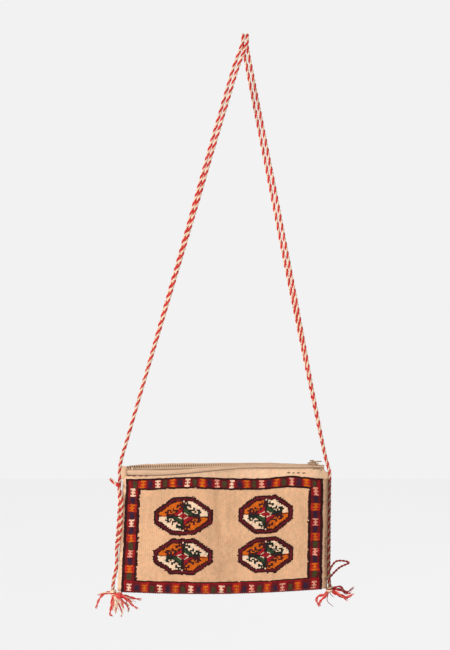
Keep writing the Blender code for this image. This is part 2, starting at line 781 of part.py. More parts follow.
def add_zip(bag):
    """The zip lies on an empty that carries the chain's tilt, and the moving pieces on empties at their axes."""
    chain = add_object("chain_frame", None, bag)
    chain.rotation_euler = (0.0, -CHAIN_TILT, 0.0)
    slider_frame = add_object("slider_frame", None, chain)
    slider_frame.location = (stop_at() - SLIDER_GAP - SLIDER_LENGTH / 2, 0.0, 0.0)
    tab_frame = add_object("tab_frame", None, slider_frame)
    tab_frame.location = (0.0, 0.0, slider_levels()[2])

    inner = CHAIN_SLIT / 2
    outer = inner + COIL_WIDTH
    for word, side in (("front", -1), ("back", 1)):
        add_zip_tape(f"zip_tape_{word}", side, bag)
        add_zip_coil(f"zip_coil_{word}", side, chain)
        low, high = sorted((side * inner, side * outer))
        add_stop(f"zip_top_stop_{word}", stop_at(), low, high, chain)
    add_stop("zip_bottom_stop", -stop_at() - STOP_LENGTH, -outer, outer, chain)
    add_zip_slider(slider_frame)
    add_zip_pull_tab(tab_frame)


# Strap cords and loose ends


def smooth_path(route, longest):
    """Points on a smooth curve through the route, no further apart than longest where the route is sparse."""
    ends = [2 * route[0] - route[1], *route, 2 * route[-1] - route[-2]]
    path = []
    for p0, p1, p2, p3 in zip(ends, ends[1:], ends[2:], ends[3:]):
        t1 = (p1 - p0).length ** 0.5
        t2 = t1 + (p2 - p1).length ** 0.5
        t3 = t2 + (p3 - p2).length ** 0.5
        steps = max(1, round((p2 - p1).length / longest))
        for step in range(steps):
            t = lerp(t1, t2, step / steps)
            a1 = p0.lerp(p1, t / t1)
            a2 = p1.lerp(p2, (t - t1) / (t2 - t1))
            a3 = p2.lerp(p3, (t - t2) / (t3 - t2))
            b1 = a1.lerp(a2, t / t2)
            b2 = a2.lerp(a3, (t - t1) / (t3 - t1))
            path.append(b1.lerp(b2, (t - t1) / (t2 - t1)))
    path.append(route[-1])
    return path


def strap_route():
    """The pair's middle line and its angle, from the bottom left corner over the hook to the bottom right one."""
    over_hook = []
    for degrees in range(180, -1, -30):
        angle = math.radians(degrees)
        y = HOOK_BEND_RADIUS * math.cos(angle)
        z = CORD_DIAMETER / 2 - HOOK_BEND_RADIUS * (1 - math.sin(angle))
        over_hook.append((0.0, y / MM, z / MM, 0))
    listed = LEFT_SEAM_ROUTE + LEFT_LIMB_ROUTE + over_hook + RIGHT_LIMB_ROUTE + RIGHT_SEAM_ROUTE
    return [Vector(row[:3]) * MM for row in listed], [math.radians(row[3]) for row in listed]


def cord_route(side):
    """The middle line of one cord of the pair: side is 1 or -1."""
    centres, angles = strap_route()
    route = []
    for i, (centre, angle) in enumerate(zip(centres, angles)):
        before = centres[max(0, i - 1)]
        after = centres[min(len(centres) - 1, i + 1)]
        along = (after - before).normalized()
        wide = Vector((1, 0, 0))
        wide = (wide - along * wide.dot(along)).normalized()
        offset = wide * math.cos(angle) + along.cross(wide) * math.sin(angle)
        route.append(centre + offset * side * CORD_SPACING / 2)
    return route


def add_tube(name, path, radius, colour, tip=1.0, sides=8):
    """A closed round tube along the path, narrowing to the share tip of its radius at the far end."""
    curve = bpy.data.curves.new(name, "CURVE")
    curve.dimensions = "3D"
    curve.bevel_depth = radius
    curve.bevel_resolution = (sides - 4) // 2
    curve.use_fill_caps = True
    spline = curve.splines.new("POLY")
    spline.points.add(len(path) - 1)
    for i, (point, place) in enumerate(zip(spline.points, path)):
        point.co = (*place, 1.0)
        point.radius = lerp(1.0, tip, i / (len(path) - 1))
    curve.materials.append(material(colour))
    return add_object(name, curve)


def as_mesh(tube):
    """The same tube as a mesh object, for joining."""
    graph = bpy.context.evaluated_depsgraph_get()
    mesh = bpy.data.meshes.new_from_object(tube.evaluated_get(graph))
    made = add_object(tube.name + "_mesh", mesh)
    bpy.data.objects.remove(tube)
    return made


def add_knot(name, centre, half_size):
    """A rounded lump with a point count low enough for a small knot."""
    points = [(0.0, 0.0, -1.0)]
    rings, sides = (-0.6, 0.0, 0.6), 8
    for height in rings:
        radius = math.sqrt(1 - height * height)
        for i in range(sides):
            turn = 2 * math.pi * i / sides
            points.append((radius * math.cos(turn), radius * math.sin(turn), height))
    points.append((0.0, 0.0, 1.0))
    faces = [(0, 1 + (i + 1) % sides, 1 + i) for i in range(sides)]
    for ring in range(len(rings) - 1):
        low, high = 1 + ring * sides, 1 + (ring + 1) * sides
        faces += [(low + i, low + (i + 1) % sides, high + (i + 1) % sides, high + i) for i in range(sides)]
    last = len(points) - 1
    faces += [(last - sides + i, last - sides + (i + 1) % sides, last) for i in range(sides)]
    scaled = [[c + h * v for c, h, v in zip(centre, half_size, point)] for point in points]
    return add_mesh(name, scaled, faces, [])


def add_tassel(name, knot_at, half_size, strands, threads=()):
    """A knot with loose strands that taper to their ends, joined into one body."""
    centre = Vector(knot_at) * MM
    knot = add_knot(name + "_knot", centre, half_size)
    pieces = []
    for radius, group in ((PLY_RADIUS, strands), (THREAD_RADIUS, threads)):
        for strand in group:
            route = [centre, *[Vector(place) * MM for place in strand]]
            path = smooth_path(route, STRAND_STEP)
            tube = add_tube(f"{name}_strand_{len(pieces)}", path, radius, "cord_red", STRAND_TIP, sides=6)
            pieces.append(as_mesh(tube))
    return combine(name, knot, pieces, "cord_red")


def add_strap():
    for letter, side in (("a", 1), ("b", -1)):
        path = smooth_path(cord_route(side), CORD_STEP)
        add_tube(f"strap_cord_{letter}", path, CORD_DIAMETER / 2, "cord_red")
    add_tassel("tassel_left", LEFT_KNOT_AT, KNOT_HALF_SIZE, LEFT_STRANDS)
    add_tassel("tassel_right", RIGHT_KNOT_AT, KNOT_HALF_SIZE, RIGHT_STRANDS, RIGHT_THREADS)
    add_tassel("seam_tuft", TUFT_KNOT_AT, TUFT_HALF_SIZE, TUFT_STRANDS)
    loop = smooth_path([Vector(place) * MM for place in LOOP_ROUTE], LOOP_STEP)
    add_tube("loose_ply_loop", loop, PLY_RADIUS, "cord_red", sides=6)


def main():
    for existing in list(bpy.data.objects):
        bpy.data.objects.remove(existing)
    bag = add_object("bag_frame", None)
    bag.location = (BAG_SHIFT, 0.0, -BAG_DROP)
    add_woven_body(bag)
    add_zip(bag)
    add_strap()


main()
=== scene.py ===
"""Dresses the woven shoulder bag: its knotted pile front, flat-woven back, coil zip, twisted strap cords and tassels."""

import logging
import math
from dataclasses import dataclass, field
from enum import Enum

import bpy
import numpy as np
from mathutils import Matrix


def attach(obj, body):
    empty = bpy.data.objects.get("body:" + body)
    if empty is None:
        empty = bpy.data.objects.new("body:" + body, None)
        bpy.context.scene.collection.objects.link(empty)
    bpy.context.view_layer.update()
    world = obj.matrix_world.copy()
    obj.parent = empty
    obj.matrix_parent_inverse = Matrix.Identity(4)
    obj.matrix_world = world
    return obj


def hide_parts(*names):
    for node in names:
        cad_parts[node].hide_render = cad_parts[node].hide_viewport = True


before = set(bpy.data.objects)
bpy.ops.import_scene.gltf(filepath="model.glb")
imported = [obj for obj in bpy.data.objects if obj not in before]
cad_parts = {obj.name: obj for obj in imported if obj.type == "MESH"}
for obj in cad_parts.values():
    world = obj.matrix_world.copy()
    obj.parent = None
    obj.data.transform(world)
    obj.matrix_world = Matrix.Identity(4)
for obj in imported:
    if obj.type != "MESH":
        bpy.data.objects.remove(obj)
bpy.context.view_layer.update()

MM = 0.001
BAG_AT = np.array((-22.8, 0.0, -494.9)) * MM
LOG = logging.getLogger("woven_bag")


# Numbers and arrays


def lerp(start, end, share):
    """The value this share of the way from start to end."""
    return start + (end - start) * share


def eased(share):
    """A share from 0 to 1 that leaves and arrives gently: s squared times three less two s."""
    held = np.clip(share, 0.0, 1.0)
    return held * held * (3 - 2 * held)


def linear(colour: tuple) -> np.ndarray:
    """Linear light of a colour written in 255ths as it shows on a screen."""
    shown = np.array(colour, float) / 255
    return np.where(shown <= 0.04045, shown / 12.92, ((shown + 0.055) / 1.055) ** 2.4)


def smooth_noise(x: np.ndarray, y: np.ndarray, seed: int) -> np.ndarray:
    """Value noise from -1 to 1: random heights at whole numbers, joined by eased steps between them.

    Args:
        x: Places along the first axis, one unit for each random height.
        y: Places along the second axis.
        seed: Start of the random heights.
    Returns:
        The noise at each place.
    """
    lattice = np.random.default_rng(seed).uniform(-1, 1, (256, 256))
    i, j = np.floor(x).astype(int), np.floor(y).astype(int)
    u, v = eased(x - i), eased(y - j)
    i, j, i_next, j_next = i % 256, j % 256, (i + 1) % 256, (j + 1) % 256
    low = lerp(lattice[i, j], lattice[i_next, j], u)
    high = lerp(lattice[i, j_next], lattice[i_next, j_next], u)
    return lerp(low, high, v)


def unit(vectors: np.ndarray) -> np.ndarray:
    """Each vector at length one."""
    return vectors / np.maximum(np.linalg.norm(vectors, axis=-1, keepdims=True), 1e-12)


def run_lengths(path: np.ndarray) -> np.ndarray:
    """Distance along a path at each of its points."""
    steps = np.linalg.norm(np.diff(path, axis=0), axis=1)
    return np.concatenate([[0.0], np.cumsum(steps)])


def smooth_path(route: np.ndarray, spacing: float) -> np.ndarray:
    """A centripetal Catmull-Rom curve through the route, with its points an even distance apart.

    Args:
        route: Points that the curve passes, in order.
        spacing: Distance between the points that come back.
    Returns:
        The curve's points.
    """
    ends = np.vstack([2 * route[0] - route[1], route, 2 * route[-1] - route[-2]])
    share = np.linspace(0.0, 1.0, 24, endpoint=False)[:, None]
    pieces = []
    for p0, p1, p2, p3 in zip(ends, ends[1:], ends[2:], ends[3:]):
        t1 = max(1e-5, np.linalg.norm(p1 - p0) ** 0.5)
        t2 = t1 + max(1e-5, np.linalg.norm(p2 - p1) ** 0.5)
        t3 = t2 + max(1e-5, np.linalg.norm(p3 - p2) ** 0.5)
        t = lerp(t1, t2, share)
        a1, a2, a3 = lerp(p0, p1, t / t1), lerp(p1, p2, (t - t1) / (t2 - t1)), lerp(p2, p3, (t - t2) / (t3 - t2))
        b1, b2 = lerp(a1, a2, t / t2), lerp(a2, a3, (t - t1) / (t3 - t1))
        pieces.append(lerp(b1, b2, (t - t1) / (t2 - t1)))
    dense = np.vstack([*pieces, route[-1:]])
    length = run_lengths(dense)
    count = max(3, round(length[-1] / spacing) + 1)
    wanted = np.linspace(0.0, length[-1], count)
    return np.stack([np.interp(wanted, length, dense[:, axis]) for axis in range(3)], axis=1)


def path_axes(path: np.ndarray, reference: tuple) -> tuple:
    """Directions along a path and the two across it: the reference made square to the path, and the third one."""
    along = unit(np.gradient(path, axis=0))
    wide = np.array(reference, float) - along * (along @ np.array(reference, float))[:, None]
    wide = unit(wide)
    return along, wide, np.cross(along, wide)


# Meshes


@dataclass
class Cloth:
    """The points and faces of one piece, filled part by part, with a colour and a place on the yarn for each corner."""

    points: list = field(default_factory=list)
    corners: list = field(default_factory=list)
    sizes: list = field(default_factory=list)
    tints: list = field(default_factory=list)
    places: list = field(default_factory=list)
    kinds: list = field(default_factory=list)
    count: int = 0

    def add(self, points: np.ndarray, faces: np.ndarray, tint, places: np.ndarray, kind=0) -> None:
        """Adds faces of one size.

        Args:
            points: The part's own points, or an empty array where the faces use points that are there.
            faces: Point numbers, one row for each face.
            tint: One linear colour, or one for each face.
            places: Two numbers for each face's corner, which become its UV.
            kind: Number of the material, or one for each face.
        """
        sides = faces.shape[1]
        self.points.append(points.reshape(-1, 3))
        self.corners.append(faces.reshape(-1))
        self.sizes.append(np.full(len(faces), sides))
        each = np.broadcast_to(np.asarray(tint, float), (len(faces), 3))
        self.tints.append(np.repeat(each, sides, axis=0))
        self.places.append(places.reshape(-1, 2))
        self.kinds.append(np.broadcast_to(kind, len(faces)))
        self.count += points.size // 3

    def add_grid(self, grid: np.ndarray, tint, across: np.ndarray, along: np.ndarray, ring=False, kind=0) -> int:
        """Adds a grid of quads: the first axis is across and the second is along.

        Args:
            grid: Points in a grid, two axes of places and one of x, y and z.
            tint: One colour, or one for each face in the order of the grid.
            across: UV of each line across, with one more for the last when the ring closes.
            along: UV of each line along.
            ring: Whether the first axis closes on itself.
            kind: Number of the material, or one for each face.
        Returns:
            Number of the grid's first point.
        """
        first = self.count
        lines, rows = grid.shape[:2]
        i = np.arange(lines if ring else lines - 1)[:, None]
        j = np.arange(rows - 1)[None, :]
        numbers = [(a % lines) * rows + b for a, b in ((i, j), (i + 1, j), (i + 1, j + 1), (i, j + 1))]
        faces = first + np.stack(numbers, -1).reshape(-1, 4)
        spots = [(across[i + a], along[j + b]) for a, b in ((0, 0), (1, 0), (1, 1), (0, 1))]
        shape = numbers[0].shape
        places = np.stack([np.stack([np.broadcast_to(v, shape) for v in spot], -1) for spot in spots], 2)
        self.add(grid, faces, tint, places, kind)
        return first

    def add_fan(self, centre: np.ndarray, loop: np.ndarray, tint, place: tuple) -> None:
        """Closes a loop of points with triangles to a point of its own."""
        middle = self.count
        faces = np.stack([np.full(len(loop), middle), loop, np.roll(loop, -1)], -1)
        self.add(np.asarray(centre)[None], faces, tint, np.tile(place, (faces.size, 1)))

    def add_seam(self, one: np.ndarray, other: np.ndarray, tint, kind=0) -> None:
        """Joins two lines of points that run the same way but have different counts, with triangles.

        Each line's edges and the other's are taken in the order of their middles, from 0 to 1, and every edge is
        joined to the point that the other line has reached.
        """
        share_one = (np.arange(len(one) - 1) + 0.5) / (len(one) - 1)
        share_other = (np.arange(len(other) - 1) + 0.5) / (len(other) - 1)
        reached = np.searchsorted(share_other, share_one)
        first = np.stack([one[:-1], one[1:], other[reached]], -1)
        reached = np.searchsorted(share_one, share_other, side="right")
        second = np.stack([other[1:], other[:-1], one[reached]], -1)
        faces = np.concatenate([first, second])
        self.add(np.zeros((0, 3)), faces, tint, np.zeros((faces.size, 2)), kind)

    def add_tube(self, path: np.ndarray, radii, tint, sides=8, reference=(0.0, 1.0, 0.0), flat=1.0, turn=None) -> None:
        """A closed tube: each ring is centre plus wide times the radius and cosine plus high times the sine.

        Args:
            path: Centres of the rings.
            radii: One radius, or one for each ring.
            tint: Colour of the tube.
            sides: Number of faces round it.
            reference: A direction that the path never follows, from which the rings are turned.
            flat: Height of the ring as a share of its width.
            turn: Angle of each ring about the path.
        """
        along, wide, high = path_axes(path, reference)
        if turn is not None:
            cosine, sine = np.cos(turn)[:, None], np.sin(turn)[:, None]
            wide, high = wide * cosine + high * sine, high * cosine - wide * sine
        angle = np.linspace(0.0, 2 * math.pi, sides, endpoint=False)[:, None, None]
        size = np.broadcast_to(radii, len(path))[None, :, None]
        rings = path[None] + size * (np.cos(angle) * wide[None] + flat * np.sin(angle) * high[None])
        length = run_lengths(path) / MM
        first = self.add_grid(rings, tint, np.linspace(0.0, 1.0, sides + 1), length, ring=True)
        loop = first + np.arange(sides) * len(path)
        self.add_fan(path[0] - along[0] * size[0, 0] * 0.4, loop, tint, (0.0, length[0]))
        self.add_fan(path[-1] + along[-1] * size[0, -1] * 0.4, (loop + len(path) - 1)[::-1], tint, (0.0, length[-1]))

    def piece(self, name: str, materials: list, body: str, replaced: tuple = ()) -> bpy.types.Object:
        """The finished object, facing outwards, riding on its body.

        Args:
            name: The piece's name.
            materials: Its materials, in the order of the kinds.
            body: The body that it rides on.
            replaced: CAD nodes that it stands for.
        Returns:
            The object.
        """
        points, corners = np.concatenate(self.points), np.concatenate(self.corners)
        sizes = np.concatenate(self.sizes)
        tints, places = np.concatenate(self.tints), np.concatenate(self.places)
        starts = np.concatenate([[0], np.cumsum(sizes)[:-1]])
        fan = np.concatenate([np.stack([starts, starts + 1, starts + 2], -1), (np.stack([starts, starts + 2, starts + 3], -1))[sizes == 4]])
        p, q, r = (points[corners[fan[:, k]]] for k in range(3))
        if np.einsum("ij,ij->i", p, np.cross(q, r)).sum() < 0:
            turned = starts.repeat(sizes) * 2 + sizes.repeat(sizes) - 1 - np.arange(len(corners))
            corners, tints, places = corners[turned], tints[turned], places[turned]
        mesh = bpy.data.meshes.new(name)
        mesh.vertices.add(len(points))
        mesh.vertices.foreach_set("co", points.astype(np.float32).ravel())
        mesh.loops.add(len(corners))
        mesh.loops.foreach_set("vertex_index", corners.astype(np.int32))
        mesh.polygons.add(len(sizes))
        mesh.polygons.foreach_set("loop_start", starts.astype(np.int32))
        mesh.polygons.foreach_set("loop_total", sizes.astype(np.int32))
        mesh.update(calc_edges=True)
        for material in materials:
            mesh.materials.append(material)
        mesh.polygons.foreach_set("material_index", np.concatenate(self.kinds).astype(np.int32))
        mesh.polygons.foreach_set("use_smooth", np.ones(len(sizes), bool))
        yarn = mesh.uv_layers.new(name="yarn")
        yarn.data.foreach_set("uv", places.astype(np.float32).ravel())
        colour = mesh.color_attributes.new("tint", "FLOAT_COLOR", "CORNER")
        full = np.concatenate([np.clip(tints, 0, 1), np.ones((len(tints), 1))], axis=1)
        colour.data.foreach_set("color", full.astype(np.float32).ravel())
        mesh.validate()
        made = bpy.data.objects.new(name, mesh)
        bpy.context.scene.collection.objects.link(made)
        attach(made, body)
        if replaced:
            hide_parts(*replaced)
        LOG.info("%s: %d faces", name, len(sizes))
        return made


# Finishes


class Wool(Enum):
    """Colours of the wool, as they show on a screen in 255ths."""

    CREAM = (222, 173, 133)
    HEM = (232, 190, 154)
    FLAT = (222, 180, 144)
    RED = (140, 18, 22)
    BRIGHT = (166, 34, 22)
    DIM = (98, 18, 24)
    DARK = (48, 12, 14)
    MAROON = (98, 18, 28)
    ORANGE = (202, 94, 14)
    GREEN = (66, 58, 30)
    LEAF = (46, 64, 36)
    LEAF_DARK = (24, 30, 24)
    BROWN = (62, 20, 22)
    NAVY = (50, 26, 46)
    CORE = (158, 20, 32)
    WHITE = (240, 202, 168)
    IVORY = (234, 188, 158)
    PINK = (222, 146, 122)


class Yarn(Enum):
    """Colours of the cords, tassels and threads."""

    RED = (220, 56, 50)
    ROSE = (236, 112, 98)
    PALE = (252, 220, 190)
    DEEP = (140, 22, 24)
    BEIGE = (206, 170, 138)
    TAPE = (230, 190, 156)
    BRICK = (168, 52, 42)
    BROWN = (96, 52, 40)


PALETTE = np.array([linear(wool.value) for wool in Wool])
CODE = {wool: number for number, wool in enumerate(Wool)}


class Web:
    """A node tree being filled, with short calls for the nodes that this bag's finishes share."""

    def __init__(self, tree: bpy.types.NodeTree):
        """Starts from an empty or a new tree."""
        self.tree = tree

    def node(self, kind: str, **settings) -> bpy.types.Node:
        """A new node with these properties set."""
        made = self.tree.nodes.new(kind)
        for name, value in settings.items():
            setattr(made, name, value)
        return made

    def feed(self, socket, source) -> None:
        """Links a source socket, or sets a plain value."""
        if isinstance(source, bpy.types.NodeSocket):
            self.tree.links.new(source, socket)
        else:
            socket.default_value = source

    def math(self, operation: str, *sources):
        """The result of one Math node."""
        made = self.node("ShaderNodeMath", operation=operation)
        for socket, source in zip(made.inputs, sources):
            self.feed(socket, source)
        return made.outputs[0]

    def noise(self, vector, scale, detail: float):
        """The value of a Noise Texture."""
        made = self.node("ShaderNodeTexNoise")
        self.feed(made.inputs["Vector"], vector)
        self.feed(made.inputs["Scale"], scale)
        self.feed(made.inputs["Detail"], detail)
        return made.outputs[0]

    def remap(self, value, low: float, high: float):
        """A value from 0 to 1 moved to between low and high."""
        made = self.node("ShaderNodeMapRange")
        self.feed(made.inputs["Value"], value)
        self.feed(made.inputs["To Min"], low)
        self.feed(made.inputs["To Max"], high)
        return made.outputs[0]

    def shade(self, colour, amount):
        """A colour times a number."""
        made = self.node("ShaderNodeVectorMath", operation="SCALE")
        self.feed(made.inputs[0], colour)
        self.feed(made.inputs["Scale"], amount)
        return made.outputs[0]


def new_group(name: str, inputs: dict, outputs: dict) -> tuple:
    """A shader node group with named sockets.

    Args:
        name: The group's name.
        inputs: Name and starting value of each input.
        outputs: Name and socket kind of each output.
    Returns:
        The group, its web, its input node and its output node.
    """
    group = bpy.data.node_groups.new(name, "ShaderNodeTree")
    for label, value in inputs.items():
        socket = group.interface.new_socket(label, in_out="INPUT", socket_type="NodeSocketFloat")
        socket.default_value = value
    for label, kind in outputs.items():
        group.interface.new_socket(label, in_out="OUTPUT", socket_type=kind)
    web = Web(group)
    return group, web, web.node("NodeGroupInput"), web.node("NodeGroupOutput")


def fibre_group() -> bpy.types.NodeTree:
    """Wool hairs: fine noise drawn out along Z, with a coarser one for the tone of the yarn."""
    group, web, given, made = new_group(
        "wool_fibre",
        {"Hair Scale": 2600.0, "Stretch": 0.35, "Tone Scale": 420.0},
        {"Height": "NodeSocketFloat", "Tone": "NodeSocketFloat"},
    )
    where = web.node("ShaderNodeTexCoord").outputs["Object"]
    stretch = web.node("ShaderNodeCombineXYZ")
    web.feed(stretch.inputs[0], 1.0)
    web.feed(stretch.inputs[1], 1.0)
    web.feed(stretch.inputs[2], given.outputs["Stretch"])
    drawn = web.node("ShaderNodeVectorMath", operation="MULTIPLY")
    web.feed(drawn.inputs[0], where)
    web.feed(drawn.inputs[1], stretch.outputs[0])
    hair = web.noise(drawn.outputs[0], given.outputs["Hair Scale"], 3.0)
    tone = web.noise(where, given.outputs["Tone Scale"], 2.0)
    web.feed(made.inputs["Height"], hair)
    web.feed(made.inputs["Tone"], web.math("MULTIPLY", web.math("ADD", tone, hair), 0.5))
    return group


def interlace_group() -> bpy.types.NodeTree:
    """Plain weave on the UV: ribs across, and wefts along that pass over every other rib."""
    group, web, given, made = new_group(
        "plain_weave",
        {"Ribs": 0.87, "Wefts": 0.62},
        {"Height": "NodeSocketFloat"},
    )
    split = web.node("ShaderNodeSeparateXYZ")
    web.feed(split.inputs[0], web.node("ShaderNodeTexCoord").outputs["UV"])
    rib = web.math("MULTIPLY", split.outputs[0], given.outputs["Ribs"])
    weft = web.math("MULTIPLY", split.outputs[1], given.outputs["Wefts"])
    shifted = web.math("ADD", weft, web.math("MULTIPLY", web.math("FLOOR", rib), 0.5))
    crown = web.math("ABSOLUTE", web.math("SINE", web.math("MULTIPLY", rib, math.pi)))
    pick = web.math("ABSOLUTE", web.math("SINE", web.math("MULTIPLY", shifted, math.pi)))
    web.feed(made.inputs["Height"], web.math("MULTIPLY", web.math("POWER", crown, 0.6), web.math("POWER", pick, 0.7)))
    return group


def twist_group() -> bpy.types.NodeTree:
    """Grooves of a spun yarn on the UV: stripes round it that climb one turn in each pitch along it."""
    group, web, given, made = new_group(
        "yarn_twist",
        {"Strands": 3.0, "Climb": -0.16},
        {"Height": "NodeSocketFloat"},
    )
    split = web.node("ShaderNodeSeparateXYZ")
    web.feed(split.inputs[0], web.node("ShaderNodeTexCoord").outputs["UV"])
    turn = web.math("MULTIPLY", split.outputs[0], given.outputs["Strands"])
    climb = web.math("MULTIPLY", split.outputs[1], web.math("MULTIPLY", given.outputs["Climb"], given.outputs["Strands"]))
    stripe = web.math("SINE", web.math("MULTIPLY", web.math("ADD", turn, climb), math.pi))
    web.feed(made.inputs["Height"], web.math("POWER", web.math("ABSOLUTE", stripe), 0.6))
    return group


@dataclass(frozen=True)
class ClothFinish:
    """A wool or cotton finish: the piece's own colours with hairs, and grooves of a yarn or a weave where it has one."""

    name: str
    relief: str = ""
    relief_values: tuple = ()
    relief_height: float = 0.15 * MM
    relief_shade: float = 0.25
    hair_height: float = 0.10 * MM
    hair_stretch: float = 0.35
    tone: float = 0.16
    roughness: float = 0.92
    sheen: float = 0.12

    def material(self, groups: dict) -> bpy.types.Material:
        """The material, from the shared groups."""
        made = bpy.data.materials.new(self.name)
        made.use_nodes = True
        web = Web(made.node_tree)
        shader = made.node_tree.nodes["Principled BSDF"]
        shader.inputs["Roughness"].default_value = self.roughness
        shader.inputs["Sheen Weight"].default_value = self.sheen
        shader.inputs["Sheen Roughness"].default_value = 0.45
        shader.inputs["Specular IOR Level"].default_value = 0.18
        fibre = web.node("ShaderNodeGroup", node_tree=groups["fibre"])
        fibre.inputs["Stretch"].default_value = self.hair_stretch
        tint = web.node("ShaderNodeVertexColor", layer_name="tint").outputs["Color"]
        shade = web.remap(fibre.outputs["Tone"], 1.0 - self.tone * 2, 1.0 + self.tone * 2)
        hairs = web.node("ShaderNodeBump")
        hairs.inputs["Distance"].default_value = self.hair_height
        web.feed(hairs.inputs["Height"], fibre.outputs["Height"])
        normal = hairs.outputs["Normal"]
        if self.relief:
            relief = web.node("ShaderNodeGroup", node_tree=groups[self.relief])
            for label, value in self.relief_values:
                relief.inputs[label].default_value = value
            groove = web.node("ShaderNodeBump")
            groove.inputs["Distance"].default_value = self.relief_height
            web.feed(groove.inputs["Height"], relief.outputs["Height"])
            web.feed(groove.inputs["Normal"], normal)
            normal = groove.outputs["Normal"]
            shade = web.math("MULTIPLY", shade, web.remap(relief.outputs["Height"], 1.0 - self.relief_shade, 1.04))
        web.feed(shader.inputs["Base Color"], web.shade(tint, shade))
        web.feed(shader.inputs["Normal"], normal)
        return made


@dataclass(frozen=True)
class HardFinish:
    """Nylon or metal: one colour that drifts a little, with scuffs in its roughness and fine dents."""

    name: str
    colour: tuple
    wear_and_painted_shade: tuple
    metallic: float
    roughness: tuple
    dent: float = 0.03 * MM

    def material(self) -> bpy.types.Material:
        """The material."""
        made = bpy.data.materials.new(self.name)
        made.use_nodes = True
        web = Web(made.node_tree)
        shader = made.node_tree.nodes["Principled BSDF"]
        shader.inputs["Metallic"].default_value = self.metallic
        where = web.node("ShaderNodeTexCoord").outputs["Object"]
        wear = web.noise(where, 700.0, 4.0)
        mixed = web.node("ShaderNodeMix", data_type="RGBA")
        web.feed(mixed.inputs[0], web.remap(wear, -0.4, 1.4))
        web.feed(mixed.inputs[6], (*linear(self.colour), 1.0))
        web.feed(mixed.inputs[7], (*linear(self.wear_and_painted_shade), 1.0))
        web.feed(shader.inputs["Base Color"], mixed.outputs[2])
        web.feed(shader.inputs["Roughness"], web.remap(wear, *self.roughness))
        bump = web.node("ShaderNodeBump")
        bump.inputs["Distance"].default_value = self.dent
        web.feed(bump.inputs["Height"], web.noise(where, 2200.0, 2.0))
        web.feed(shader.inputs["Normal"], bump.outputs["Normal"])
        return made


@dataclass
class Finishes:
    """Every material of the bag, built once."""

    made: dict = field(default_factory=dict)

    def __post_init__(self):
        """Builds the shared groups and the materials."""
        groups = {"fibre": fibre_group(), "weave": interlace_group(), "twist": twist_group()}
        cloths = [
            ClothFinish("pile_wool", hair_height=0.16 * MM, hair_stretch=0.5, tone=0.12),
            ClothFinish("flat_weave_wool", "weave", (("Ribs", 0.87), ("Wefts", 0.62)), 0.30 * MM, 0.30, tone=0.14),
            ClothFinish("cord_yarn", "twist", (("Strands", 6.0), ("Climb", -0.10)), 0.16 * MM, 0.22, 0.16 * MM, 0.6),
            ClothFinish("loose_yarn", "twist", (("Strands", 4.0), ("Climb", -0.20)), 0.16 * MM, 0.25, 0.18 * MM, 0.6),
            ClothFinish("tape_cotton", "weave", (("Ribs", 0.85), ("Wefts", 1.6)), 0.14 * MM, 0.16, 0.04 * MM, 1.0, 0.06, 0.85),
            ClothFinish("sewing_thread", "twist", (("Strands", 3.0), ("Climb", -0.8)), 0.05 * MM, 0.2, 0.03 * MM, 1.0, 0.08),
        ]
        for cloth in cloths:
            self.made[cloth.name] = cloth.material(groups)
        for hard in (
            HardFinish("coil_nylon", (206, 172, 138), (228, 198, 166), 0.0, (0.35, 0.6)),
            HardFinish("zip_brass", (128, 94, 68), (178, 146, 114), 0.55, (0.30, 0.55)),
        ):
            self.made[hard.name] = hard.material()

    def get(self, name: str) -> bpy.types.Material:
        """The material of this name."""
        return self.made[name]


# The bag's shape, which every sewn piece follows


